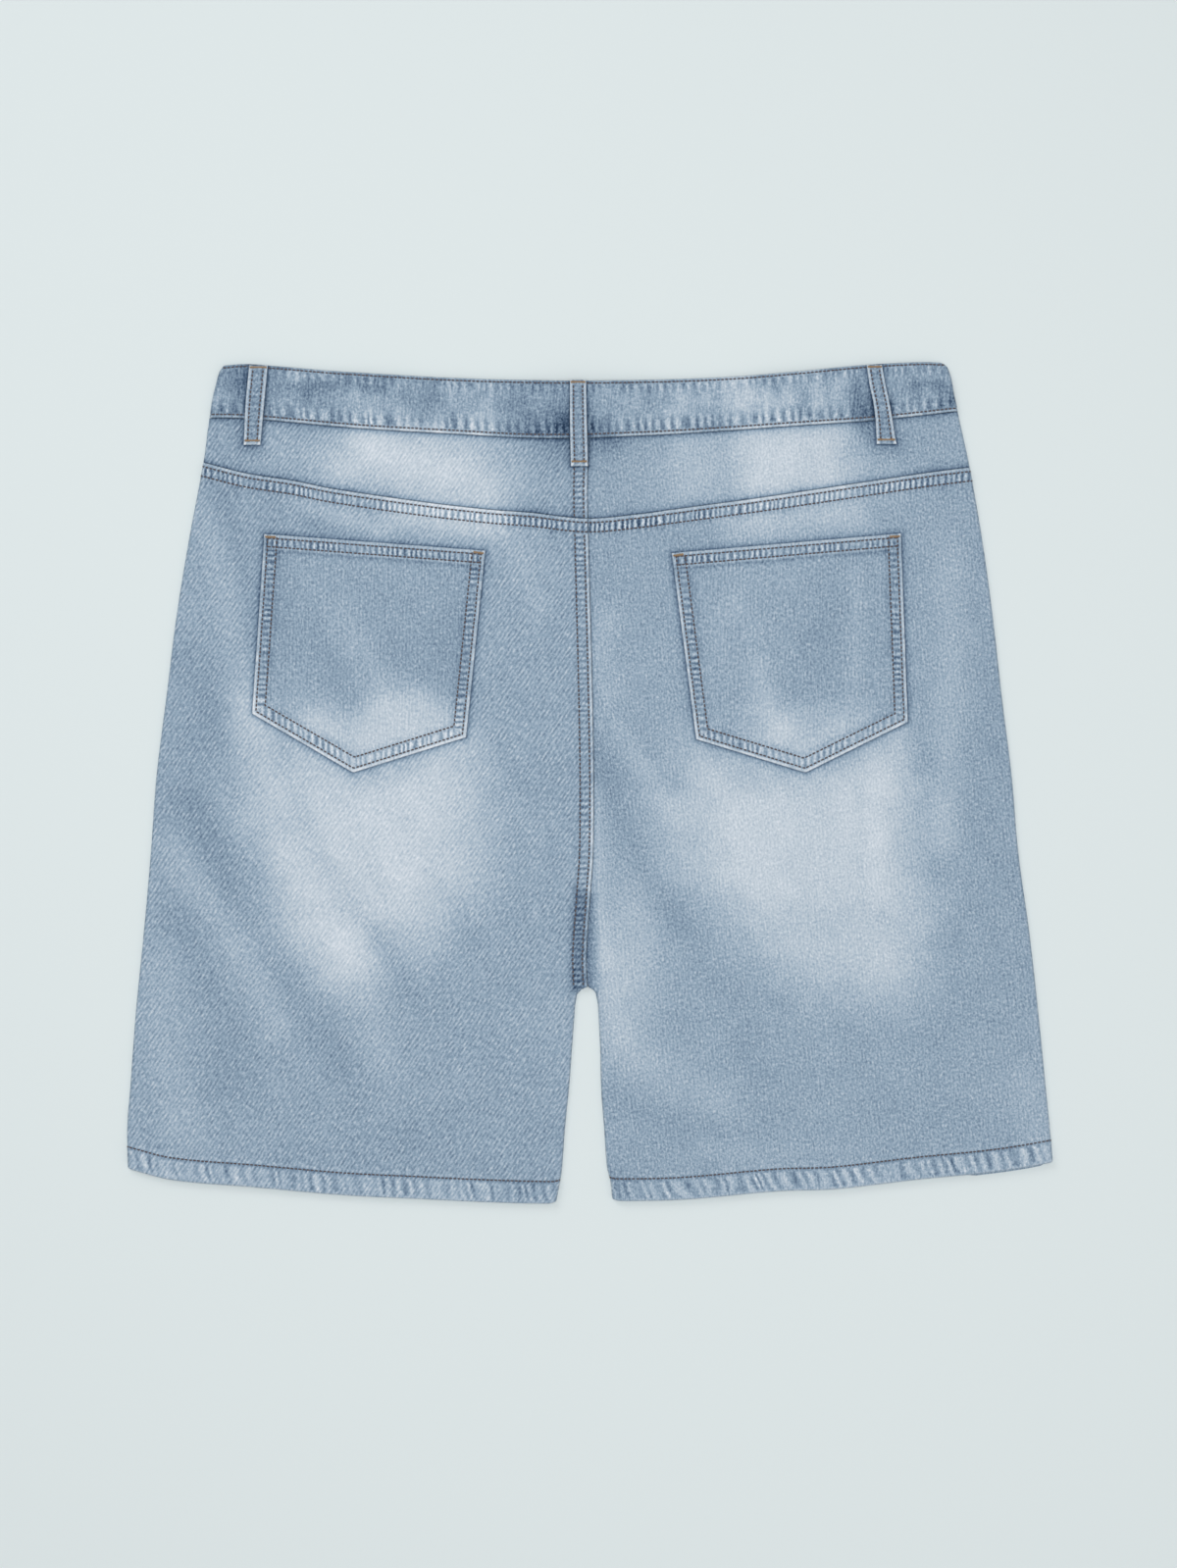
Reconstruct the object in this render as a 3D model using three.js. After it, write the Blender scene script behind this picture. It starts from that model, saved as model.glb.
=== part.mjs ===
// Denim shorts laid flat, back up, in millimetres.
// +X is to the right as seen from above (the wearer's right), +Y runs from hem to waist, +Z is up.
import * as THREE from "three";

// Cloth and seams.
const CLOTH = 1.2; // one layer of denim
const DOUBLE = 2.4; // waistband and hems, folded double
const GAP = 0.3; // between any two pieces
const SLACK = 1.0; // air between front and back where nothing lifts the back
const HEM_SLACK = 0.6;
const HEM_DEPTH = 16.0;
const HEM_STEP = 1.5; // half the width of the step at the hem's sewn edge
const YOKE_BAND = 8.0; // felled seam under the yoke
const CENTRE_BAND = 10.0; // felled seam left of centre back
const BAND_RISE = 0.9;
const BAND_SLACK = 0.6; // between the waistband's front and its back
const RIM = 0.35; // how far a cut or folded edge is eased
const FLOOR_RIM = 0.6; // the same where the front's edge rolls up off the floor
const ORIGIN = { x: 0.27, y: -0.28 }; // the middle of the whole, in the tables' coordinates

// Waist closing, on the underside.
const LAP_HALF = 19.0; // the waistband's ends lap this far past the middle, each way
const LAP_SLOPE = 34.0; // cloth over a step takes this long to come down
const LAP_BACK = { flat: 2.0, fall: 44.0, low: 180.0, high: 236.0 }; // how the back drapes over the lap
const FRONT_DIP = 14.0; // the front waist sits this much lower at the middle
const DIP_EDGE = 252.0; // and meets the back waist here
const BUTTON = { x: 4.0, y: 252.0, radius: 8.5, height: 2.3, dish: 0.7 };

// Side edges: height and the two outlines.
const SIDES = [
  { y: 299.6, left: -253.5, right: 250.0 },
  { y: 297.0, left: -261.1, right: 254.6 },
  { y: 285.6, left: -266.0, right: 258.3 },
  { y: 257.6, left: -271.4, right: 264.0 },
  { y: 229.6, left: -275.1, right: 270.2 },
  { y: 173.6, left: -285.6, right: 280.0 },
  { y: 117.6, left: -294.7, right: 287.7 },
  { y: 61.6, left: -301.7, right: 294.0 },
  { y: 5.6, left: -308.7, right: 301.0 },
  { y: -50.4, left: -312.9, right: 305.9 },
  { y: -106.4, left: -317.8, right: 313.6 },
  { y: -162.4, left: -323.4, right: 319.9 },
  { y: -218.4, left: -327.6, right: 325.5 },
  { y: -246.4, left: -329.7, right: 328.3 },
  { y: -276.0, left: -329.0, right: 330.8 },
];

// Centre back seam, then the arch and the legs' inner edges.
const CENTRE = [
  { y: 300.0, x: -0.7 },
  { y: 245.0, x: -0.4 },
  { y: 208.6, x: -1.4 },
  { y: 176.4, x: -0.7 },
  { y: 30.1, x: 2.8 },
  { y: -47.6, x: 2.8 },
  { y: -79.8, x: 0.7 },
  { y: -122.5, x: -2.1 },
  { y: -146.1, x: -1.4 },
];
const ARCH_TOP = -146.1;
const ARCH_TURN = { above: 0.6, below: 3.4 }; // over this height the edge begins to roll down
const INNER_LEG = [
  { y: -149.0, left: -8.0, right: 4.0 },
  { y: -154.0, left: -9.8, right: 5.6 },
  { y: -162.4, left: -10.5, right: 6.3 },
  { y: -190.4, left: -12.6, right: 7.7 },
  { y: -218.4, left: -14.7, right: 8.4 },
  { y: -246.4, left: -17.5, right: 10.5 },
  { y: -274.4, left: -19.6, right: 12.6 },
  { y: -284.2, left: -21.0, right: 15.0 },
  { y: -299.0, left: -23.8, right: 16.5 },
];

// Curves that run across: position and height.
const WAIST_TOP = [
  { x: -261.0, y: 297.0 },
  { x: -245.7, y: 298.2 },
  { x: -224.7, y: 296.8 },
  { x: -182.7, y: 293.3 },
  { x: -140.7, y: 290.5 },
  { x: -98.7, y: 288.4 },
  { x: -56.7, y: 287.0 },
  { x: -0.7, y: 286.0 },
  { x: 69.3, y: 287.7 },
  { x: 111.3, y: 289.8 },
  { x: 153.3, y: 293.3 },
  { x: 195.3, y: 297.5 },
  { x: 237.3, y: 299.6 },
  { x: 254.0, y: 299.0 },
];
const WAIST_LOW = [
  { x: -271.0, y: 260.1 },
  { x: -246.4, y: 259.7 },
  { x: -212.1, y: 256.9 },
  { x: -182.7, y: 254.1 },
  { x: -153.3, y: 251.6 },
  { x: -95.2, y: 248.5 },
  { x: -42.7, y: 245.6 },
  { x: -0.7, y: 245.4 },
  { x: 55.3, y: 248.2 },
  { x: 124.6, y: 252.7 },
  { x: 194.3, y: 257.6 },
  { x: 217.7, y: 259.7 },
  { x: 263.0, y: 264.9 },
];
const YOKE_SEAM = [
  { x: -275.3, y: 228.2 },
  { x: -243.6, y: 220.2 },
  { x: -212.1, y: 215.3 },
  { x: -182.7, y: 209.3 },
  { x: -118.3, y: 199.9 },
  { x: -72.1, y: 194.6 },
  { x: -42.7, y: 192.4 },
  { x: -1.2, y: 188.2 },
  { x: 41.3, y: 192.0 },
  { x: 55.3, y: 194.0 },
  { x: 124.6, y: 203.4 },
  { x: 194.3, y: 213.8 },
  { x: 240.8, y: 220.8 },
  { x: 271.0, y: 224.7 },
];
const HEM_LEFT = [
  { x: -329.0, y: -275.2 },
  { x: -297.5, y: -283.2 },
  { x: -238.7, y: -288.4 },
  { x: -175.7, y: -294.0 },
  { x: -119.7, y: -296.8 },
  { x: -75.6, y: -298.9 },
  { x: -30.0, y: -300.1 },
  { x: -23.8, y: -299.0 },
];
const HEM_RIGHT = [
  { x: 16.5, y: -297.2 },
  { x: 23.1, y: -298.2 },
  { x: 68.6, y: -297.1 },
  { x: 135.1, y: -291.2 },
  { x: 174.3, y: -289.8 },
  { x: 235.2, y: -282.8 },
  { x: 273.4, y: -279.1 },
  { x: 300.3, y: -275.8 },
  { x: 330.8, y: -270.6 },
];

// Back pockets: corners, from the top outer one round to the top inner one.
const POCKETS = {
  left: {
    side: [-231.7, 177.1],
    seat: [-74.2, 165.2],
    low: [-87.9, 32.2],
    tip: [-168.4, 7.0],
    out: [-240.3, 49.0],
  },
  right: {
    side: [221.9, 177.5],
    seat: [58.5, 163.5],
    low: [76.0, 30.8],
    tip: [153.8, 7.0],
    out: [226.8, 43.1],
  },
};
const POCKET_HEM = 8.0;
const POCKET_HEM_RISE = 0.5;
const POCKET_GRID = {
  depth: 130, // of its outer edges
  rows: [0, 0.8, POCKET_HEM - 0.6, POCKET_HEM + 0.6, 22, 44, 66, 88, 110, 129.2, 130],
  across: [0, 0.005, 0.17, 0.335, 0.5, 0.665, 0.83, 0.995, 1],
};

// Belt loops: both edges, row by row from the waist down.
const LOOPS = {
  belt_loop_back_left: [
    { y: 297.2, left: -242.4, right: -229.1 },
    { y: 268.0, left: -244.8, right: -231.6 },
    { y: 240.5, left: -246.4, right: -234.5 },
  ],
  belt_loop_back_centre: [
    { y: 286.3, left: -14.0, right: -2.4 },
    { y: 256.0, left: -13.9, right: -1.9 },
    { y: 225.0, left: -13.3, right: -1.1 },
  ],
  belt_loop_back_right: [
    { y: 297.6, left: 197.3, right: 208.2 },
    { y: 283.0, left: 199.4, right: 210.8 },
    { y: 270.0, left: 202.0, right: 213.4 },
    { y: 256.0, left: 203.8, right: 216.0 },
    { y: 241.2, left: 204.6, right: 218.9 },
  ],
};
const LOOP_BULGE = 2.6; // room for a belt
const LOOP_GRID = {
  rows: [0, 0.02, 0.1, 0.22, 0.36, 0.5, 0.64, 0.78, 0.88, 0.98, 1],
  across: [0, 0.08, 0.92, 1],
  free: [0.06, 0.94], // the loop stands off between these shares of its length
  toYoke: [0.6, 0.92], // and comes down off the waistband between these
};
const FRONT_LOOPS = {
  belt_loop_front_left: { x: -148.0, half: 6.0 },
  belt_loop_front_right: { x: 148.0, half: 6.0 },
};
const FRONT_LOOP_BELOW = 18.0; // how far a front loop reaches below the waistband
const DRAPE = { flat: 2.0, loop: 32.0, button: 41.0 }; // how far the front drapes beside what lifts it

// Soft folds of the back: a line, its height at the top of the fold and its half width.
const FOLDS = [
  { x0: -150, y0: 110, x1: -170, y1: -60, rise: 1.3, half: 85 },
  { x0: 150, y0: 110, x1: 165, y1: -60, rise: 1.3, half: 85 },
  { x0: -16, y0: -52, x1: -19, y1: -160, rise: 1.3, half: 9 },
  { x0: 22, y0: -30, x1: 27, y1: -185, rise: 1.6, half: 10 },
  { x0: -212, y0: -40, x1: -168, y1: -165, rise: 0.9, half: 15 },
  { x0: -168, y0: -34, x1: -118, y1: -150, rise: 1.0, half: 16 },
  { x0: 92, y0: -50, x1: 128, y1: -150, rise: 0.8, half: 15 },
  { x0: -96, y0: -190, x1: -88, y1: -262, rise: 0.7, half: 15 },
  { x0: -270, y0: -120, x1: -276, y1: -215, rise: 0.8, half: 14 },
  { x0: 250, y0: -95, x1: 262, y1: -190, rise: 0.8, half: 15 },
  { x0: 180, y0: -205, x1: 186, y1: -262, rise: 0.6, half: 14 },
];
const EDGE_CALM = 26.0; // folds die out this close to a side edge
const LEG_CALM = 8.0; // and this close to a leg's inner edge
const HEM_CALM = 0.7; // share of a fold that the stiff hem takes away
const VALLEY = { top: -40, low: -146, half: 7, depth: 0.7 }; // the centre seam sinks above the arch

const smoothstep = (from, to, value) => {
  const t = Math.min(1, Math.max(0, (value - from) / (to - from)));
  return t * t * (3 - 2 * t);
};
const mix = (a, b, t) => a + (b - a) * t;

// A smooth curve through the rows of a table: column `value` as a function of column `key`.
function curve(table, key, value) {
  const rows = [...table].sort((a, b) => a[key] - b[key]);
  const slope = (i) => {
    const a = rows[Math.max(0, i - 1)];
    const b = rows[Math.min(rows.length - 1, i + 1)];
    return (b[value] - a[value]) / (b[key] - a[key]);
  };
  return (at) => {
    let i = 0;
    while (i < rows.length - 2 && at > rows[i + 1][key]) i += 1;
    const a = rows[i];
    const b = rows[i + 1];
    const span = b[key] - a[key];
    const t = Math.min(1, Math.max(0, (at - a[key]) / span));
    const t2 = t * t;
    const t3 = t2 * t;
    return (
      (2 * t3 - 3 * t2 + 1) * a[value] +
      (t3 - 2 * t2 + t) * span * slope(i) +
      (3 * t2 - 2 * t3) * b[value] +
      (t3 - t2) * span * slope(i + 1)
    );
  };
}

const sideX = { left: curve(SIDES, "y", "left"), right: curve(SIDES, "y", "right") };
const centreX = curve(CENTRE, "y", "x");
const legX = { left: curve(INNER_LEG, "y", "left"), right: curve(INNER_LEG, "y", "right") };
const waistTopY = curve(WAIST_TOP, "x", "y");
const waistLowY = curve(WAIST_LOW, "x", "y");
const yokeSeamY = curve(YOKE_SEAM, "x", "y");
const hemY = { left: curve(HEM_LEFT, "x", "y"), right: curve(HEM_RIGHT, "x", "y") };
const OUTWARD = { left: -1, right: 1 };

// The inner edge of one half: the centre seam, then the arch, then the leg.
function innerX(side, y) {
  const seam = centreX(Math.max(y, ARCH_TOP)) + (OUTWARD[side] * GAP) / 2;
  const first = INNER_LEG[0];
  if (y >= ARCH_TOP) return seam;
  if (y <= first.y) return legX[side](y);
  const t = (ARCH_TOP - y) / (ARCH_TOP - first.y);
  return mix(seam, first[side], Math.sqrt(t));
}

// What lies under the front lifts it: belt loops and the button.
function lift(x, y) {
  let rise = 0;
  for (const loop of Object.values(FRONT_LOOPS)) {
    const low = frontLowY(loop.x) - FRONT_LOOP_BELOW;
    const beside = Math.abs(x - loop.x) - loop.half;
    const across = 1 - smoothstep(DRAPE.flat, DRAPE.flat + DRAPE.loop, beside);
    const along = smoothstep(low - DRAPE.loop, low - DRAPE.flat, y);
    rise += (CLOTH + GAP) * across * along;
  }
  const far = Math.hypot(x - BUTTON.x, y - BUTTON.y) - BUTTON.radius;
  return rise + (BUTTON.height + GAP) * (1 - smoothstep(DRAPE.flat, DRAPE.button, far));
}

// The lapped ends of the waistband lift the back over them.
function lapLift(x, y) {
  const flat = LAP_HALF + LAP_BACK.flat;
  const across = 1 - smoothstep(flat, flat + LAP_BACK.fall, Math.abs(x));
  return (DOUBLE + GAP) * across * smoothstep(LAP_BACK.low, LAP_BACK.high, y);
}

const frontDip = (x) => FRONT_DIP * Math.max(0, 1 - (x / DIP_EDGE) ** 2);
const frontTopY = (x) => waistTopY(x) - frontDip(x);
const frontLowY = (x) => waistLowY(x) - frontDip(x);

function folds(x, y) {
  let rise = 0;
  for (const fold of FOLDS) {
    const dx = fold.x1 - fold.x0;
    const dy = fold.y1 - fold.y0;
    const t = ((x - fold.x0) * dx + (y - fold.y0) * dy) / (dx * dx + dy * dy);
    const near = Math.min(1, Math.max(0, t));
    const away = Math.hypot(x - fold.x0 - near * dx, y - fold.y0 - near * dy);
    rise += fold.rise * Math.exp(-((away / fold.half) ** 2) / 2);
  }
  return rise;
}

function hemShare(side, x, y) {
  return 1 - smoothstep(HEM_DEPTH - HEM_STEP, HEM_DEPTH + HEM_STEP, y - hemY[side](x));
}

const sideOf = (x, y) => (x < centreX(Math.max(y, ARCH_TOP)) ? "left" : "right");

function slack(x, y) {
  const side = sideOf(x, y);
  const toSide = (sideX[side](y) - x) * OUTWARD[side];
  const toLeg = y < ARCH_TOP ? (x - innerX(side, y)) * OUTWARD[side] : EDGE_CALM;
  const calm = smoothstep(0, EDGE_CALM, toSide) * smoothstep(0, LEG_CALM, toLeg);
  const hem = hemShare(side, x, y);
  const sunk =
    VALLEY.depth *
    Math.exp(-(((x - centreX(y)) / VALLEY.half) ** 2) / 2) *
    smoothstep(VALLEY.top, VALLEY.low, y);
  return mix(SLACK, HEM_SLACK, hem) + folds(x, y) * calm * (1 - HEM_CALM * hem) - (y > ARCH_TOP ? sunk : 0);
}

// Heights of the panels' faces above the floor.
const frontThick = (x, y) => mix(CLOTH, DOUBLE, hemShare(sideOf(x, y), x, y));
const frontTop = (x, y) => lift(x, y) + frontThick(x, y);
const backThick = (x, y) => mix(CLOTH, DOUBLE, hemShare(sideOf(x, y), x, y));
const backOuter = (x, y) => frontTop(x, y) + lapLift(x, y) + GAP + slack(x, y) + backThick(x, y);
const bandOuter = (x, y) => lift(x, y) + lapLift(x, y) + 2 * DOUBLE + BAND_SLACK;

// A closed slab between two grids of points, outer[row][column] and inner[row][column].
function slab(outer, inner) {
  const rows = outer.length;
  const columns = outer[0].length;
  const points = [...outer.flat(), ...inner.flat()];
  const top = (r, c) => r * columns + c;
  const under = (r, c) => rows * columns + r * columns + c;
  const faces = [];
  const quad = (a, b, c, d) => faces.push(a, b, c, a, c, d);
  for (let r = 0; r < rows - 1; r += 1) {
    for (let c = 0; c < columns - 1; c += 1) {
      quad(top(r, c), top(r + 1, c), top(r + 1, c + 1), top(r, c + 1));
      quad(under(r, c), under(r, c + 1), under(r + 1, c + 1), under(r + 1, c));
    }
    quad(top(r, 0), under(r, 0), under(r + 1, 0), top(r + 1, 0));
    quad(top(r, columns - 1), top(r + 1, columns - 1), under(r + 1, columns - 1), under(r, columns - 1));
  }
  for (let c = 0; c < columns - 1; c += 1) {
    quad(top(0, c), top(0, c + 1), under(0, c + 1), under(0, c));
    quad(top(rows - 1, c), under(rows - 1, c), under(rows - 1, c + 1), top(rows - 1, c + 1));
  }
  return closedGeometry(points, faces);
}

// Geometry from points and faces, turned so that its faces look outwards.
function closedGeometry(points, faces) {
  let volume = 0;
  for (let i = 0; i < faces.length; i += 3) {
    const [a, b, c] = [points[faces[i]], points[faces[i + 1]], points[faces[i + 2]]];
    volume +=
      a[0] * (b[1] * c[2] - b[2] * c[1]) +
      a[1] * (b[2] * c[0] - b[0] * c[2]) +
      a[2] * (b[0] * c[1] - b[1] * c[0]);
  }
  if (volume < 0) faces.reverse();
  const geometry = new THREE.BufferGeometry();
  geometry.setAttribute("position", new THREE.Float32BufferAttribute(points.flat(), 3));
  geometry.setIndex(faces);
  geometry.computeVertexNormals();
  return geometry;
}

// A patch filled in between four edges, each a function from 0 to 1.
function patch(edges, f, g) {
  const [t, b, l, r] = [edges.top(f), edges.bottom(f), edges.side(g), edges.inner(g)];
  const [p00, p10] = [edges.top(0), edges.top(1)];
  const [p01, p11] = [edges.bottom(0), edges.bottom(1)];
  return [0, 1].map(
    (k) =>
      (1 - g) * t[k] + g * b[k] + (1 - f) * l[k] + f * r[k] -
      ((1 - f) * (1 - g) * p00[k] + f * (1 - g) * p10[k] + (1 - f) * g * p01[k] + f * g * p11[k]),
  );
}

const acrossCurve = (from, to, yOf) => (f) => {
  const x = mix(from, to, f);
  return [x, yOf(x)];
};
const downCurve = (from, to, xOf) => (g) => {
  const y = mix(from, to, g);
  return [xOf(y), y];
};

// Where an edge that runs down meets one that runs across.
function corner(xOf, yOf) {
  let [x, y] = [0, 0];
  for (let round = 0; round < 12; round += 1) {
    y = yOf(x);
    x = xOf(y);
  }
  return [x, y];
}

// The edges of a panel between a curve across its top, one across its foot, its side and its inner edge.
function panelEdges(side, topY, footY, innerOf) {
  const [topSide, footSide] = [topY, footY].map((yOf) => corner(sideX[side], yOf));
  const [topInner, footInner] = [topY, footY].map((yOf) => corner(innerOf, yOf));
  return {
    top: acrossCurve(topSide[0], topInner[0], topY),
    bottom: acrossCurve(footSide[0], footInner[0], footY),
    side: downCurve(topSide[1], footSide[1], sideX[side]),
    inner: downCurve(topInner[1], footInner[1], innerOf),
  };
}

const width = (edges, g) => {
  const [a, b] = [edges.side(g), edges.inner(g)];
  return Math.hypot(a[0] - b[0], a[1] - b[1]);
};
const ROUND_ANGLES = [0, 35, 65, 90].map((degrees) => (degrees * Math.PI) / 180);

// Columns of a panel at one row: distance from the side edge and the roll of the cloth over that edge.
function rowColumns(edges, g, columns, sideRadius, innerRadius, innerRound) {
  const w = width(edges, g);
  const list = ROUND_ANGLES.map((angle) => ({
    f: (sideRadius * (1 - Math.cos(angle))) / w,
    drop: sideRadius * (1 - Math.sin(angle)),
    angle,
    out: -1,
  }));
  columns.fromSide.forEach((mm) => list.push({ f: mm / w, drop: 0, angle: Math.PI / 2, out: -1 }));
  columns.shares.forEach((f) => list.push({ f, drop: 0, angle: Math.PI / 2, out: -1 }));
  columns.fromInner.forEach((mm) => list.push({ f: 1 - mm / w, drop: 0, angle: Math.PI / 2, out: 1 }));
  [...ROUND_ANGLES].reverse().forEach((angle) =>
    list.push({
      f: 1 - (innerRadius * (1 - Math.cos(angle))) / w,
      drop: innerRound * innerRadius * (1 - Math.sin(angle)),
      angle: mix(Math.PI / 2, angle, innerRound),
      out: 1,
    }),
  );
  return list;
}

// Even steps between two shares, ends included.
const steps = (from, to, count) => Array.from({ length: count }, (_, i) => mix(from, to, i / (count - 1)));

// Columns of a back panel or yoke, and rows of a leg panel, by distance in mm or by share.
const INNER_COLUMNS = [24, 17, CENTRE_BAND + 1, CENTRE_BAND - 1, 5.5];
const BACK_COLUMNS = { fromSide: [7, 15], shares: steps(0.1, 0.88, 11), fromInner: INNER_COLUMNS };
const YOKE_COLUMNS = { fromSide: [7, 15], shares: steps(0.1, 0.88, 14), fromInner: INNER_COLUMNS };
const HEM_ROWS = [HEM_DEPTH + HEM_STEP, HEM_DEPTH - HEM_STEP, 1.3, 0];
const BACK_ROWS = {
  length: 494, // from the top edge to the hem, halfway across
  fromTop: [0, YOKE_BAND - 0.7, YOKE_BAND + 0.7, 18],
  shares: steps(0.085, 0.6, 11),
  fromArch: [-18, -6, -1, 1.5, 5, 12],
  lowShares: steps(0.76, 0.92, 4),
  fromHem: [24, ...HEM_ROWS],
};
const FRONT_ROWS = {
  length: 530,
  fromTop: [0, 9, 20, 32, 48, 72],
  shares: steps(0.22, 0.66, 4),
  fromArch: [-16, -4, 0.4, 3.4, 10],
  lowShares: steps(0.79, 0.93, 2),
  fromHem: HEM_ROWS,
};
const FRONT_SHARES = [0.12, 0.25, 0.34, 0.4, 0.46, 0.52, 0.58, 0.66, 0.76, 0.84, 0.9, 0.94, 0.97];
const YOKE_ROWS = [0, 0.12, 0.27, 0.45, 0.7, 1];

function rowShares(rows, edges) {
  const [top, low] = [edges.inner(0)[1], edges.inner(1)[1]];
  return [
    ...rows.fromTop.map((mm) => mm / rows.length),
    ...rows.shares,
    ...rows.fromArch.map((mm) => (top - ARCH_TOP + mm) / (top - low)),
    ...rows.lowShares,
    ...rows.fromHem.map((mm) => 1 - mm / rows.length),
  ];
}

// How much thicker a back panel is along its felled seams.
function felled(side, fromTop, fromCentre) {
  const alongTop = fromTop < YOKE_BAND ? 1 : 0;
  const alongCentre = side === "left" && fromCentre < CENTRE_BAND ? 1 : 0;
  return BAND_RISE * Math.max(alongTop, alongCentre);
}

// A back panel or yoke: points of its outer face, and of its inner face one thickness behind.
// Its side edge rolls down over the front's; so does its inner edge, below the arch.
function clothPanel(side, edges, rows, columns, thickOf, riseOf, foldedFoot) {
  const outer = [];
  const inner = [];
  rows.forEach((g, r) => {
    const innerAt = edges.inner(g);
    const round = 1 - smoothstep(ARCH_TOP - ARCH_TURN.below, ARCH_TOP + ARCH_TURN.above, innerAt[1]);
    const radiusAt = ([x, y]) => slack(x, y) + thickOf(x, y);
    const sideRadius = radiusAt(edges.side(g));
    const innerRadius = mix(SLACK + CLOTH, radiusAt(innerAt), round);
    const topRow = [];
    const lowRow = [];
    for (const { f, drop, angle, out } of rowColumns(edges, g, columns, sideRadius, innerRadius, round)) {
      const [x, y] = patch(edges, f, g);
      const away = -out * OUTWARD[side];
      const thick = thickOf(x, y);
      const z = backOuter(x, y) - drop;
      const ease = foldedFoot && r === rows.length - 1 ? RIM * thick : 0;
      const behind = (depth) => [x - away * Math.cos(angle) * depth, y, z - Math.sin(angle) * depth];
      const face = behind(ease);
      topRow.push([face[0], y, face[2] + riseOf(g, f)]);
      lowRow.push(behind(thick - ease));
    }
    outer.push(topRow);
    inner.push(lowRow);
  });
  return slab(outer, inner);
}

const seamX = (side) => (y) => centreX(Math.max(y, ARCH_TOP)) + (OUTWARD[side] * GAP) / 2;

function backPanel(side) {
  const edges = panelEdges(side, yokeSeamY, hemY[side], (y) => innerX(side, y));
  const toCentre = (g, f) => (edges.inner(g)[1] > ARCH_TOP - 2 ? (1 - f) * width(edges, g) : Infinity);
  const rise = (g, f) => felled(side, g * BACK_ROWS.length, toCentre(g, f));
  return clothPanel(side, edges, rowShares(BACK_ROWS, edges), BACK_COLUMNS, backThick, rise, true);
}

function yoke(side) {
  const top = (x) => waistLowY(x) - GAP;
  const foot = (x) => yokeSeamY(x) + GAP;
  const edges = panelEdges(side, top, foot, seamX(side));
  const rise = (g, f) => felled(side, Infinity, (1 - f) * width(edges, g));
  return clothPanel(side, edges, YOKE_ROWS, YOKE_COLUMNS, () => CLOTH, rise, false);
}

// How far the front's hem reaches below the back's: it shows along the right leg only.
const FRONT_SHORT = 0.8;
const FRONT_PEEP = { reach: 2.2, from: 262, full: 276, fade: 320, to: 328 };
const peep = (x) =>
  smoothstep(FRONT_PEEP.from, FRONT_PEEP.full, x) * (1 - smoothstep(FRONT_PEEP.fade, FRONT_PEEP.to, x));
const frontShows = {
  left: () => -FRONT_SHORT,
  right: (x) => FRONT_PEEP.reach * peep(x) - FRONT_SHORT,
};

// A front panel lies on the floor; its rim is eased where it rolls up to meet the back.
function frontPanel(side) {
  const top = (x) => frontLowY(x) - GAP;
  const foot = (x) => hemY[side](x) - frontShows[side](x);
  const edges = panelEdges(side, top, foot, (y) => innerX(side, y));
  const rows = rowShares(FRONT_ROWS, edges);
  const outer = [];
  const inner = [];
  rows.forEach((g, r) => {
    const eased = (2 * FLOOR_RIM) / width(edges, g);
    const belowArch = edges.inner(g)[1] < ARCH_TOP - 1;
    const foldedFoot = r === rows.length - 1;
    const columns = [0, eased, ...FRONT_SHARES, 1 - eased, 1];
    const floorRow = [];
    const topRow = [];
    columns.forEach((f, c) => {
      const [x, y] = patch(edges, f, g);
      const rim = c === 0 || (c === columns.length - 1 && belowArch) || foldedFoot;
      floorRow.push([x, y, lift(x, y) + (rim ? FLOOR_RIM : 0)]);
      topRow.push([x, y, frontTop(x, y) - (foldedFoot ? FLOOR_RIM : 0)]);
    });
    outer.push(floorRow);
    inner.push(topRow);
  });
  return slab(outer, inner);
}

const BAND_HEIGHTS = [0, 0.04, 0.35, 0.68, 0.96, 1]; // shares of the waistband's height
const BAND_STEPS = { front: 22, back: 41 };
const FOLD_ANGLES = [-60, -30, 0, 30, 60].map((degrees) => (degrees * Math.PI) / 180);

// The waistband is one strip: lapped end, front, fold, back, fold, front, other end.
function waistband() {
  const radius = (2 * DOUBLE + BAND_SLACK) / 2;
  const stations = [];
  const frontShares = steps(0, 1, BAND_STEPS.front);
  frontShares.forEach((s) => stations.push({ part: "front", side: "left", share: s }));
  FOLD_ANGLES.forEach((angle) => stations.push({ part: "fold", side: "left", angle }));
  steps(0, 1, BAND_STEPS.back).forEach((s) => stations.push({ part: "back", share: s }));
  [...FOLD_ANGLES].reverse().forEach((angle) => stations.push({ part: "fold", side: "right", angle }));
  [...frontShares].reverse().forEach((s) => stations.push({ part: "front", side: "right", share: s }));

  const faces = BAND_HEIGHTS.map((t) => {
    const ease = t === 0 || t === 1 ? FLOOR_RIM : 0;
    return stations.map((station) => bandPoint(station, t, ease, radius));
  });
  return slab(
    faces.map((row) => row.map((pair) => pair[0])),
    faces.map((row) => row.map((pair) => pair[1])),
  );
}

// Where a station of the waistband lies in plan, its place across given for any height.
function bandPlace(acrossAt, t, lowY, topY) {
  let [x, y] = [0, WAIST_LOW[0].y];
  for (let round = 0; round < 6; round += 1) {
    x = acrossAt(y);
    y = mix(lowY(x), topY(x), t);
  }
  return [x, y];
}

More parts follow.
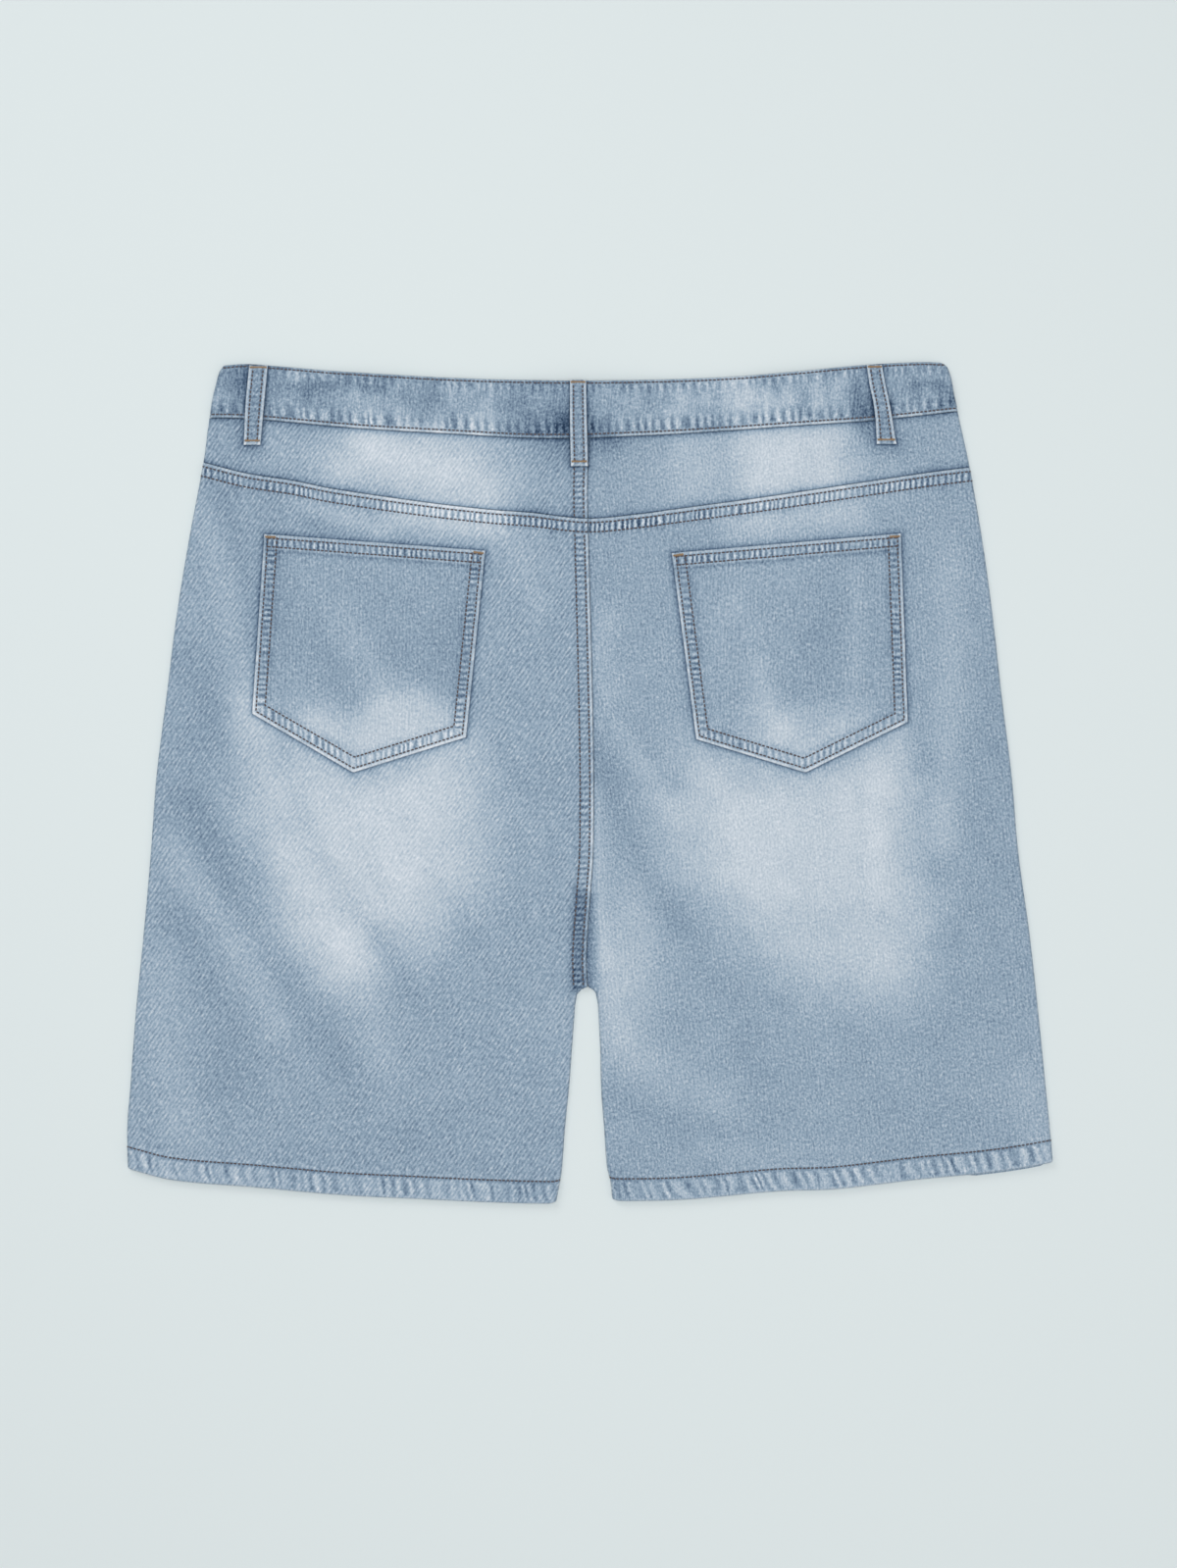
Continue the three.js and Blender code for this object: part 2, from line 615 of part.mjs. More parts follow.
// One point of the waistband's outer face and the one behind it.
function bandPoint(station, t, ease, radius) {
  if (station.part === "back") {
    const across = (y) => mix(sideX.left(y) + radius, sideX.right(y) - radius, station.share);
    const [x, y] = bandPlace(across, t, waistLowY, waistTopY);
    const z = bandOuter(x, y);
    return [[x, y, z - ease], [x, y, z - DOUBLE + ease]];
  }
  const away = OUTWARD[station.side];
  const tangent = (y) => sideX[station.side](y) - away * radius;
  if (station.part === "fold") {
    const [x, y] = bandPlace(tangent, t, waistLowY, waistTopY);
    return [radius - ease, radius - DOUBLE + ease].map((r) => [
      x + away * r * Math.cos(station.angle),
      y,
      radius + r * Math.sin(station.angle),
    ]);
  }
  // The left end lies outside, the right end above it.
  const [x, y] = bandPlace((at) => mix(-away * LAP_HALF, tangent(at), station.share), t, frontLowY, frontTopY);
  const flat = LAP_HALF + LAP_BACK.flat;
  const over = station.side === "right" ? 1 - smoothstep(flat, flat + LAP_SLOPE, x) : 0;
  const z = lift(x, y) + (DOUBLE + GAP) * over;
  return [[x, y, z + ease], [x, y, z + DOUBLE - ease]];
}

// A patch pocket, made on the back panel's face moved out.
function pocket(side) {
  const p = POCKETS[side];
  const line = (a, b) => (t) => [mix(a[0], b[0], t), mix(a[1], b[1], t)];
  const edges = {
    top: line(p.side, p.seat),
    bottom: (f) => (f < 0.5 ? line(p.out, p.tip)(2 * f) : line(p.tip, p.low)(2 * f - 1)),
    side: line(p.side, p.out),
    inner: line(p.seat, p.low),
  };
  const { depth, rows, across } = POCKET_GRID;
  const outer = [];
  const inner = [];
  rows.forEach((mm, r) => {
    const topRow = [];
    const lowRow = [];
    across.forEach((f, c) => {
      const [x, y] = patch(edges, f, mm / depth);
      const rim = r === 0 || c === 0 || r === rows.length - 1 || c === across.length - 1;
      const hem = mm < POCKET_HEM ? POCKET_HEM_RISE : 0;
      const z = backOuter(x, y) + GAP;
      topRow.push([x, y, z + CLOTH + hem - (rim ? RIM : 0)]);
      lowRow.push([x, y, z]);
    });
    outer.push(topRow);
    inner.push(lowRow);
  });
  return slab(outer, inner);
}

// A belt loop over the back of the waistband, standing off in the middle.
function backLoop(rows) {
  const leftAt = curve(rows, "y", "left");
  const rightAt = curve(rows, "y", "right");
  const top = rows[0].y;
  const low = rows[rows.length - 1].y;
  const outer = [];
  const inner = [];
  const felledRise = Math.abs(leftAt(low)) < 2 * CENTRE_BAND ? BAND_RISE : 0;
  const across = (y, f) => mix(leftAt(y), rightAt(y), f);
  const highest = (heightAt, y) => Math.max(...[0, 0.5, 1].map((f) => heightAt(across(y, f), y)));
  LOOP_GRID.rows.forEach((s, r) => {
    const y = mix(top, low, s);
    const stand = Math.sin(Math.PI * smoothstep(...LOOP_GRID.free, s)) ** 0.8 * LOOP_BULGE;
    const yokeZ = highest(backOuter, y) + felledRise;
    const z = mix(highest(bandOuter, y), yokeZ, smoothstep(...LOOP_GRID.toYoke, s)) + GAP + stand;
    const end = r === 0 || r === LOOP_GRID.rows.length - 1;
    const topRow = [];
    const lowRow = [];
    LOOP_GRID.across.forEach((f) => {
      const x = across(y, f);
      const rim = f === 0 || f === 1 || end ? RIM : 0;
      topRow.push([x, y, z + CLOTH - rim]);
      lowRow.push([x, y, z]);
    });
    outer.push(topRow);
    inner.push(lowRow);
  });
  return slab(outer, inner);
}

// A belt loop pressed flat between the front and the floor.
function frontLoop({ x, half }) {
  const top = frontTopY(x);
  const low = frontLowY(x) - FRONT_LOOP_BELOW;
  const outer = [];
  const inner = [];
  [0, 0.02, 0.98, 1].forEach((s) => {
    const floorRow = [];
    const topRow = [];
    [-1, -0.86, 0.86, 1].forEach((f) => {
      const rim = Math.abs(f) === 1 || s === 0 || s === 1 ? RIM : 0;
      floorRow.push([x + half * f, mix(top, low, s), rim]);
      topRow.push([x + half * f, mix(top, low, s), CLOTH]);
    });
    outer.push(floorRow);
    inner.push(topRow);
  });
  return slab(outer, inner);
}

// The button's head, dished on the side that shows.
function button() {
  const { radius, height, dish } = BUTTON;
  const profile = [
    [0, dish], [radius * 0.5, dish], [radius * 0.68, 0.1], [radius * 0.8, 0], [radius * 0.95, 0.3],
    [radius, 1.0], [radius * 0.94, height - 0.3], [radius * 0.8, height], [0, height],
  ];
  const around = 32;
  const points = [];
  const faces = [];
  const rings = profile.slice(1, -1);
  rings.forEach(([r, z]) => {
    for (let k = 0; k < around; k += 1) {
      const angle = (2 * Math.PI * k) / around;
      points.push([BUTTON.x + r * Math.cos(angle), BUTTON.y + r * Math.sin(angle), z]);
    }
  });
  const [first, last] = [points.length, points.length + 1];
  points.push([BUTTON.x, BUTTON.y, dish], [BUTTON.x, BUTTON.y, height]);
  for (let k = 0; k < around; k += 1) {
    const next = (k + 1) % around;
    faces.push(first, next, k);
    for (let i = 0; i < rings.length - 1; i += 1) {
      const [a, b] = [i * around, (i + 1) * around];
      faces.push(a + k, a + next, b + next, a + k, b + next, b + k);
    }
    const rim = (rings.length - 1) * around;
    faces.push(last, rim + k, rim + next);
  }
  return closedGeometry(points, faces);
}

const denim = () => new THREE.MeshStandardMaterial({ color: 0x9db3c6, roughness: 0.95 });
const metal = () => new THREE.MeshStandardMaterial({ color: 0xa98a5b, roughness: 0.4, metalness: 0.9 });

const shorts = new THREE.Group();

function add(name, geometry, material) {
  const mesh = new THREE.Mesh(geometry, material);
  mesh.name = name;
  mesh.geometry.translate(-ORIGIN.x, -ORIGIN.y, 0);
  shorts.add(mesh);
}

for (const side of ["left", "right"]) {
  add("front_" + side, frontPanel(side), denim());
  add("back_" + side, backPanel(side), denim());
  add("yoke_" + side, yoke(side), denim());
  add("pocket_" + side, pocket(side), denim());
}
add("waistband", waistband(), denim());
for (const [name, rows] of Object.entries(LOOPS)) add(name, backLoop(rows), denim());
for (const [name, place] of Object.entries(FRONT_LOOPS)) add(name, frontLoop(place), denim());
add("button", button(), metal());

export default shorts;
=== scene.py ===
import bpy
import math
import numpy as np
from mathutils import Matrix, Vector


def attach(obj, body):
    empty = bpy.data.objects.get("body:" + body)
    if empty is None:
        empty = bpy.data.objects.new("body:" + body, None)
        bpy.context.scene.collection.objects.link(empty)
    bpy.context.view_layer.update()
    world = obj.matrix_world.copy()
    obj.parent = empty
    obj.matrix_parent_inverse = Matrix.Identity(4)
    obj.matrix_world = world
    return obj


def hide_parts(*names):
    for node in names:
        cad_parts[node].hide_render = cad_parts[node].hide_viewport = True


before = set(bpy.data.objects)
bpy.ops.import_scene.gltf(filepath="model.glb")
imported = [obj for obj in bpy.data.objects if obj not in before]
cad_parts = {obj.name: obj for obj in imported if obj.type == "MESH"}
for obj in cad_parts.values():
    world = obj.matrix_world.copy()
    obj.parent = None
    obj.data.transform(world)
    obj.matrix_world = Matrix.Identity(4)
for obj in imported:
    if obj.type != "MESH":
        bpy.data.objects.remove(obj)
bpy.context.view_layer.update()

# Cloth, folds, lap and button, as in the solids.
CLOTH, DOUBLE, GAP = 1.2, 2.4, 0.3
SLACK, HEM_SLACK = 1.0, 0.6
HEM_DEPTH, HEM_STEP = 16.0, 1.5
BAND_SLACK = 0.6
BAND_RISE = 0.9
BAND_RADIUS = (2 * DOUBLE + BAND_SLACK) / 2
ORIGIN = (0.27, -0.28)
LAP_HALF, LAP_SLOPE, LAP_FLAT, LAP_FALL = 19.0, 34.0, 2.0, 44.0
LAP_LOW, LAP_HIGH = 180.0, 236.0
FRONT_DIP, DIP_EDGE = 14.0, 252.0
BUTTON_X, BUTTON_Y, BUTTON_R, BUTTON_H, BUTTON_DISH = 4.0, 252.0, 8.5, 2.3, 0.75
FRONT_LOOPS = {"belt_loop_front_left": -148.0, "belt_loop_front_right": 148.0}
FRONT_LOOP_HALF, FRONT_LOOP_BELOW = 6.0, 18.0
# How far cloth stays up beside what lies under it, then how far it takes to come down.
DRAPE_FLAT, DRAPE_LOOP, DRAPE_BUTTON = 2.0, 32.0, 41.0
# Folds die out this near a side edge and a leg's edge, and by this share on the hem.
EDGE_CALM, LEG_CALM, HEM_CALM = 26.0, 8.0, 0.7
# The seat sinks along the centre seam from this height down to the arch where the legs part.
VALLEY_TOP, VALLEY_HALF, VALLEY_DEPTH = -40.0, 7.0, 0.7
ARCH_TOP = -146.1
# The front's hem ends this much above the back's.
FRONT_SHORT = 0.8
OUTWARD = {"left": -1.0, "right": 1.0}

# Outlines. Side edges: height, left and right edge.
SIDES = [
    (299.6, -253.5, 250.0), (297.0, -261.1, 254.6), (285.6, -266.0, 258.3), (257.6, -271.4, 264.0),
    (229.6, -275.1, 270.2), (173.6, -285.6, 280.0), (117.6, -294.7, 287.7), (61.6, -301.7, 294.0),
    (5.6, -308.7, 301.0), (-50.4, -312.9, 305.9), (-106.4, -317.8, 313.6), (-162.4, -323.4, 319.9),
    (-218.4, -327.6, 325.5), (-246.4, -329.7, 328.3), (-276.0, -329.0, 330.8),
]
# Centre back seam: height, position.
CENTRE = [
    (300.0, -0.7), (245.0, -0.4), (208.6, -1.4), (176.4, -0.7), (30.1, 2.8), (-47.6, 2.8),
    (-79.8, 0.7), (-122.5, -2.1), (-146.1, -1.4),
]
# The legs' inner edges: height, left leg, right leg.
INNER_LEG = [
    (-149.0, -8.0, 4.0), (-154.0, -9.8, 5.6), (-162.4, -10.5, 6.3), (-190.4, -12.6, 7.7),
    (-218.4, -14.7, 8.4), (-246.4, -17.5, 10.5), (-274.4, -19.6, 12.6), (-284.2, -21.0, 15.0),
    (-299.0, -23.8, 16.5),
]
# Curves that run across: position, height.
WAIST_TOP = [
    (-261.0, 297.0), (-245.7, 298.2), (-224.7, 296.8), (-182.7, 293.3), (-140.7, 290.5),
    (-98.7, 288.4), (-56.7, 287.0), (-0.7, 286.0), (69.3, 287.7), (111.3, 289.8), (153.3, 293.3),
    (195.3, 297.5), (237.3, 299.6), (254.0, 299.0),
]
WAIST_LOW = [
    (-271.0, 260.1), (-246.4, 259.7), (-212.1, 256.9), (-182.7, 254.1), (-153.3, 251.6),
    (-95.2, 248.5), (-42.7, 245.6), (-0.7, 245.4), (55.3, 248.2), (124.6, 252.7), (194.3, 257.6),
    (217.7, 259.7), (263.0, 264.9),
]
YOKE_SEAM = [
    (-275.3, 228.2), (-243.6, 220.2), (-212.1, 215.3), (-182.7, 209.3), (-118.3, 199.9),
    (-72.1, 194.6), (-42.7, 192.4), (-1.2, 188.2), (41.3, 192.0), (55.3, 194.0), (124.6, 203.4),
    (194.3, 213.8), (240.8, 220.8), (271.0, 224.7),
]
HEM = {
    "left": [
        (-329.0, -275.2), (-297.5, -283.2), (-238.7, -288.4), (-175.7, -294.0), (-119.7, -296.8),
        (-75.6, -298.9), (-30.0, -300.1), (-23.8, -299.0),
    ],
    "right": [
        (16.5, -297.2), (23.1, -298.2), (68.6, -297.1), (135.1, -291.2), (174.3, -289.8),
        (235.2, -282.8), (273.4, -279.1), (300.3, -275.8), (330.8, -270.6),
    ],
}
POCKETS = {
    "left": {"side": (-231.7, 177.1), "seat": (-74.2, 165.2), "low": (-87.9, 32.2),
             "tip": (-168.4, 7.0), "out": (-240.3, 49.0)},
    "right": {"side": (221.9, 177.5), "seat": (58.5, 163.5), "low": (76.0, 30.8),
              "tip": (153.8, 7.0), "out": (226.8, 43.1)},
}
# Belt loops: height, left edge, right edge.
LOOPS = {
    "belt_loop_back_left": [(297.2, -242.4, -229.1), (268.0, -244.8, -231.6), (240.5, -246.4, -234.5)],
    "belt_loop_back_centre": [(286.3, -14.0, -2.4), (256.0, -13.9, -1.9), (225.0, -13.3, -1.1)],
    "belt_loop_back_right": [(297.6, 197.3, 208.2), (283.0, 199.4, 210.8), (270.0, 202.0, 213.4),
                             (256.0, 203.8, 216.0), (241.2, 204.6, 218.9)],
}
LOOP_BULGE = 2.6
# Folds: from, to, height, half width.
FOLDS = [
    (-150, 110, -170, -60, 1.3, 85), (150, 110, 165, -60, 1.3, 85), (-16, -52, -19, -160, 1.3, 9),
    (22, -30, 27, -185, 1.6, 10), (-212, -40, -168, -165, 0.9, 15), (-168, -34, -118, -150, 1.0, 16),
    (92, -50, 128, -150, 0.8, 15), (-96, -190, -88, -262, 0.7, 15), (-270, -120, -276, -215, 0.8, 14),
    (250, -95, 262, -190, 0.8, 15), (180, -205, 186, -262, 0.6, 14),
]

# Colour and creases. Levels are the brightness of the cloth from 0 to 255 as the photograph shows it.
BASE_LEVEL = 166.5
# Spots with more or less wash, and spots of painted shade and light: middle, half widths, turn in degrees,
# levels.
# The painted shade lies beside and below the belt loops and in the pockets; a painted highlight lies beside
# the centre seam near the crotch.
WASH_AND_SHADE_SPOTS = [
    (-284, -36, 34, 62, 0, -5), (27, -130, 20, 56, -8, 21), (172, 118, 22, 27, 0, -8),
    (160, 86, 17, 22, 0, -6), (98, 112, 28, 38, 0, 6), (-20, 250, 13, 16, 0, -32),
    (9, 247, 15, 13, 0, -32), (195, 260, 7, 22, 12, -34), (-247, 270, 6, 24, 0, -15),
    (-242, 241, 12, 7, 0, -10), (210, 240, 14, 7, 0, -12), (-45, -291, 22, 8, 0, -12),
    (22, -289, 12, 12, 0, -14), (-268, 195, 26, 50, 0, -3), (-45, 191, 14, 6, 0, -9),
    (60, 230, 44, 18, 0, 5), (46, 268, 52, 20, 0, 8), (304, 90, 38, 120, 0, -5),
    (-221, 128, 9, 46, 0, -7), (-96, 118, 9, 44, 0, -7), (-134, 94, 22, 26, -30, -6),
    (78, 120, 8, 42, 0, -5), (-190, 276, 60, 17, 0, -7), (-110, -262, 120, 26, 0, -4),
]
# Areas of wash with soft edges: levels, softness in mm, outline.
AREAS = [
    (34, 34, [(-238, 50), (-168, 14), (-90, 34), (-74, -10), (-76, -62), (-104, -106), (-140, -120),
              (-184, -142), (-208, -116), (-234, -56), (-244, 0)]),
    (42, 24, [(-196, 12), (-168, 4), (-100, 26), (-92, -30), (-112, -86), (-146, -96), (-172, -50)]),
    (40, 38, [(74, 24), (150, 4), (224, 36), (232, 0), (236, -60), (232, -108), (112, -106), (80, -76),
              (70, -40), (68, 0)]),
    (30, 32, [(90, -50), (232, -50), (238, -140), (214, -156), (160, -152), (124, -130)]),
    (35, 18, [(-222, 44), (-168, 0), (-88, 28), (-92, 50), (-118, 66), (-146, 62), (-172, 50), (-198, 54)]),
    (26, 17, [(112, 52), (122, 46), (98, 28), (152, 4), (210, 40), (196, 50), (160, 48)]),
    (24, 16, [(92, 190), (196, 202), (196, 182), (98, 176)]),
    (37, 31, [(-166, 262), (-70, 252), (-60, 216), (-70, 196), (-150, 204), (-184, 230)]),
    (39, 23, [(104, 258), (188, 260), (184, 204), (106, 200)]),
    (15, 20, [(56, 250), (106, 254), (106, 200), (58, 194)]),
    (19, 14, [(84, 288), (180, 292), (180, 254), (82, 250)]),
    (6, 14, [(-205, 288), (-110, 283), (-110, 253), (-205, 256)]),
]
SEAT_SHADE = (-36, 5, [(-12, -74), (4, -80), (5, -150), (-14, -150)])
# Creases and streaks: start, middle, end, half width at both ends, levels, rise in mm.
# The levels follow the rise: painted light on the ridges and painted shade in the troughs, along with streaks
# of wash.
STREAKS = [
    (-247, 62, -238, -30, -186, -130, 10, 22, 11, 0.8),
    (-196, 2, -168, -42, -128, -108, 13, 19, 5, 0.6),
    (-218, 22, -190, -55, -150, -112, 7, 9, -9, -0.5),
    (-150, -108, -140, -128, -128, -152, 6, 6, -7, -0.3),
    (-166, -118, -160, -150, -153, -192, 10, 12, 11, 0.3),
    (-276, 192, -252, 110, -239, 48, 10, 9, 12, 0.8),
    (-264, 204, -247, 150, -243, 100, 6, 6, -10, -0.6),
    (-292, 88, -258, 25, -232, -66, 11, 11, -9, -0.6),
    (-232, -66, -212, -112, -192, -152, 9, 11, -6, -0.3),
    (-284, -14, -240, -104, -176, -200, 8, 11, -9, -0.5),
    (-298, -52, -266, -92, -222, -172, 10, 11, 15, 0.7),
    (-292, -100, -266, -150, -256, -206, 13, 15, -6, -0.4),
    (-302, -128, -300, -200, -290, -252, 12, 12, 10, 0.6),
    (-52, 166, -44, 145, -36, 122, 6, 6, 9, 0.3),
    (-178, 122, -158, 88, -146, 62, 7, 9, 8, 0.3),
    (-200, 112, -186, 80, -168, 52, 9, 9, -5, -0.3),
    (-108, 104, -106, 80, -104, 52, 8, 8, -5, -0.3),
    (-206, 202, -178, 190, -150, 178, 7, 7, 14, 0.4),
    (-200, 184, -180, 180, -160, 176, 4, 4, -9, -0.3),
    (-135, 192, -100, 186, -66, 184, 8, 9, 24, 0.3),
    (206, 14, 205, -35, 206, -84, 7, 7, 5, 0.4),
    (193, 20, 193, -40, 196, -88, 4, 4, -5, -0.2),
    (234, 60, 239, 0, 242, -60, 7, 7, -8, -0.4),
    (259, 158, 257, 60, 250, -40, 9, 9, 12, 0.8),
    (4, -8, 6, -70, 10, -128, 4, 6, 17, 0.5),
    (14, -152, 34, -195, 100, -230, 9, 14, 11, 0.8),
    (9, 24, 30, -40, 64, -100, 7, 9, -11, -0.7),
    (64, -100, 74, -128, 98, -152, 9, 11, -2, -0.4),
    (22, 52, 42, 24, 62, -2, 5, 5, -8, -0.3),
    (14, 116, 14, 62, 62, -28, 8, 8, 12, 0.5),
    (22, -226, 50, -238, 84, -246, 9, 9, -7, -0.4),
    (80, -262, 110, -266, 140, -262, 7, 7, 7, 0.3),
    (110, -180, 116, -210, 120, -230, 9, 9, -5, -0.3),
    (312, -215, 314, -240, 318, -258, 8, 8, 8, 0.3),
    (122, 84, 124, 62, 136, 40, 6, 8, 14, 0.3),
    (190, 150, 191, 100, 188, 62, 5, 5, 9, 0.3),
    (-152, 242, -118, 216, -80, 203, 10, 13, 8, 0.4),
    (-225, 240, -200, 228, -180, 222, 10, 10, 8, 0.3),
    (200, 235, 206, 222, 214, 212, 9, 9, 14, 0.3),
    (-222, 284, -185, 283, -150, 281, 3, 3, -12, -0.2),
    (224, 282, 240, 285, 256, 283, 3, 3, -13, -0.2),
    (20, 238, 34, 236, 50, 238, 5, 5, -5, -0.2),
]
# Troughs in the hidden front, pressed up from the ground: start, middle, end, half widths, height.
FRONT_CREASES = [
    (-210, 120, -200, 20, -160, -90, 9, 14, 0.6), (-110, 60, -120, -20, -150, -120, 8, 12, 0.5),
    (-60, -40, -40, -90, -32, -140, 6, 8, 0.5), (205, 110, 195, 20, 160, -80, 9, 13, 0.6),
    (120, 50, 128, -30, 150, -130, 8, 12, 0.5), (62, -50, 44, -95, 34, -140, 6, 8, 0.5),
    (-250, -150, -240, -190, -236, -240, 9, 10, 0.4), (255, -140, 246, -190, 244, -235, 9, 10, 0.4),
]
# Creases die out this near an edge and by this share on the hem; the crumple lies all over.
CREASE_CALM, CREASE_HEM_CALM, CRUMPLE_RISE = 9.0, 0.9, 0.25
# A streak is measured along this many straight parts, and ends this many half widths away.
STREAK_PARTS, STREAK_REACH = 8, 3.2
# Past this distance nothing shades the cloth beside it.
FAR = 14.0
# A panel is hidden this far inside a pocket's edge.
POCKET_COVER = 3
# Levels: how much darker the inside is, and the belt loops' own.
INSIDE_SHADE, LOOP_LEVEL = 6, 161
# The cloth's screen colour at each level of brightness.
WASH_COLOURS = [
    (60, (37, 57, 83)), (100, (77, 99, 124)), (130, (109, 130, 152)), (150, (129, 150, 170)),
    (165, (144, 165, 184)), (178, (160, 178, 195)), (190, (175, 191, 205)), (200, (188, 200, 211)),
    (210, (199, 210, 220)), (225, (217, 224, 232)), (245, (243, 245, 248)),
]
# Other screen colours.
THREAD_COLOUR, TACK_COLOUR = (86, 76, 78), (152, 124, 92)
BRASS_COLOUR, FLOOR_COLOUR = (150, 124, 84), (221, 230, 231)
# The way of the twill lines, in degrees, and how often slubs come across and along.
TWILL = {"left": 56.0, "right": 98.0}
POCKET_TWILL, BAND_TWILL, LOOP_TWILL = 89.0, 84.0, 58.0
SLUB = (820.0, 60.0)

# Sewing: distances of the rows of stitches from an edge, then the waves of the cloth between them.
YOKE_ROWS, CENTRE_ROWS, BAND_ROWS = (2.9, 9.6), (2.7, 9.7), (2.3, 1.7)
POCKET_ROWS, MOUTH_ROWS = (2.8, 9.4), (2.8, 8.8)
HEM_ROW = 15.6
FELLED_PITCH, HEM_PITCH = 4.0, 8.4
POCKET_PITCH, MOUTH_PITCH = 4.4, 4.1
BAND_LOW_PITCH, BAND_TOP_PITCH, LOOP_PITCH = 7.0, 6.4, 4.6
# How wide the felled seams are, and how deep and high their dents and cushions.
YOKE_REACH, CENTRE_REACH = 10.8, 11.0
SEAM_DENT, SEAM_PUFF = 0.42, 0.42
# Rounded edges: how far in they reach on seams and pockets, fronts and waistband, hems and loops.
EDGE_ROUND, PANEL_ROUND, FOLD_ROUND, LOOP_ROUND = 0.9, 1.2, 1.4, 0.8
# The share of its thickness by which a folded hem is rounded off.
FOLD_EASE = 0.42
# Threads: distance from one to the next, length, half thickness and how far they stand out.
STITCH_PITCH, STITCH_LENGTH, STITCH_HALF, STITCH_STAND = 2.9, 2.25, 0.6, 0.24
TACK_PITCH, TACK_LENGTH, TACK_HALF, TACK_STAND, TACK_TILT = 0.5, 1.7, 0.3, 0.3, 0.22
# A thread's rings: place from -1 to 1 along it and share of its thickness.
CAPSULE_RINGS = [(-1.0, 0.35), (-0.8, 0.85), (0.0, 1.0), (0.8, 0.85), (1.0, 0.35)]
CAPSULE_SIDES = 6

# Grids: distances of the lines of points near a side edge, and the gap to the evenly shared middle.
SIDE_ZONE = np.array([0, 0.11, 0.42, 0.9, 1.5, 2.2, 3.4, 5.0])
ZONE_END = 2.0
# Lines of points in the middle: how many columns and rows.
BACK_LINES, YOKE_LINES, FRONT_LINES, POCKET_LINES = (186, 290), (160, 34), (120, 190), (86, 84)
# The waistband's columns on a front and on the back, and its usual height.
BAND_FRONT, BAND_BACK, BAND_TALL = 150, 372, 40.6
LOOP_WIDE = 12.0

# Lights: name, place and size in metres, power.
LIGHTS = [
    ("key", (-1.6, 1.9, 2.2), 1.6, 21.0), ("fill", (1.9, -1.4, 2.6), 2.6, 12.0),
    ("above", (0.0, 0.0, 3.2), 1.2, 52.0),
]
SKY_POWER = 0.33
# The floor's half width in metres, and how far below the cloth it lies.
FLOOR_REACH, FLOOR_DROP = 40.0, 0.0002
# The photograph shows 840 by 1119 mm, straight from above. Place and height are in metres.
VIEW_MIDDLE, CAMERA_HEIGHT, LENS, SENSOR = (-0.0007, -0.00105), 2.643, 85.0, 36.0


def clamp01(v):
    return np.clip(v, 0.0, 1.0)


def ramp(low, high, v):
    """A soft rise from 0 at low to 1 at high."""
    t = clamp01((np.asarray(v, float) - low) / (high - low))
    return t * t * (3 - 2 * t)


def mix(a, b, t):
    return a + (b - a) * t


def bump_at(v, middle, half):
    return np.exp(-(((v - middle) / half) ** 2) / 2)


def both_rows(e, rows, half):
    return bump_at(e, rows[0], half) + bump_at(e, rows[1], half)


def rounded(e, reach):
    """Drop of a rounded edge: 1 at the edge itself, 0 from the reach inwards."""
    return 1 - np.sqrt(clamp01(1 - (1 - np.minimum(e, reach) / reach) ** 2))


def nearest(values, at):
    return int(np.argmin(np.abs(values - at)))


def curve(rows, column=1):
    """A smooth curve through the rows: the given column as a function of the first."""
    rows = sorted(rows)
    keys, values = (np.array([r[k] for r in rows], float) for k in (0, column))
    order = np.arange(len(rows))
    before, after = np.maximum(order - 1, 0), np.minimum(order + 1, len(rows) - 1)
    slopes = (values[after] - values[before]) / (keys[after] - keys[before])

    def at(v):
        v = np.asarray(v, float)
        i = np.clip(np.searchsorted(keys, v) - 1, 0, len(keys) - 2)
        span = keys[i + 1] - keys[i]
        t = clamp01((v - keys[i]) / span)
        t2, t3 = t * t, t * t * t
        first = (2 * t3 - 3 * t2 + 1) * values[i] + (t3 - 2 * t2 + t) * span * slopes[i]
        return first + (3 * t2 - 2 * t3) * values[i + 1] + (t3 - t2) * span * slopes[i + 1]

    return at


side_x = {"left": curve(SIDES, 1), "right": curve(SIDES, 2)}
leg_x = {"left": curve(INNER_LEG, 1), "right": curve(INNER_LEG, 2)}
centre_x = curve(CENTRE)
waist_top_y = curve(WAIST_TOP)
waist_low_y = curve(WAIST_LOW)
yoke_seam_y = curve(YOKE_SEAM)
hem_y = {side: curve(rows) for side, rows in HEM.items()}


def seam_x(side):
    return lambda y: centre_x(np.maximum(y, ARCH_TOP)) + OUTWARD[side] * GAP / 2


def inner_x(side):
    """A half's inner edge: the centre seam, the arch, then the leg."""
    leg_top, first_left, first_right = INNER_LEG[0]
    first_x = first_left if side == "left" else first_right

    def at(y):
        y = np.asarray(y, float)
        seam = seam_x(side)(y)
        turn = mix(seam, first_x, np.sqrt(clamp01((ARCH_TOP - y) / (ARCH_TOP - leg_top))))
        return np.where(y >= ARCH_TOP, seam, np.where(y <= leg_top, leg_x[side](y), turn))

    return at


def front_dip(x):
    return FRONT_DIP * np.maximum(0, 1 - (np.asarray(x, float) / DIP_EDGE) ** 2)


def front_top_y(x):
    return waist_top_y(x) - front_dip(x)


def front_low_y(x):
    return waist_low_y(x) - front_dip(x)


def lattice(x, y, seed):
    """Smooth noise from -1 to 1, one lump a unit."""
    x, y = np.asarray(x, float), np.asarray(y, float)
    xi, yi = np.floor(x), np.floor(y)
    fx, fy = x - xi, y - yi
    u, v = fx * fx * (3 - 2 * fx), fy * fy * (3 - 2 * fy)

    def corner(i, j):
        h = np.sin((xi + i) * 127.1 + (yi + j) * 311.7 + seed * 74.7) * 43758.5453
        return 2 * (h - np.floor(h)) - 1

    return mix(mix(corner(0, 0), corner(1, 0), u), mix(corner(0, 1), corner(1, 1), u), v)


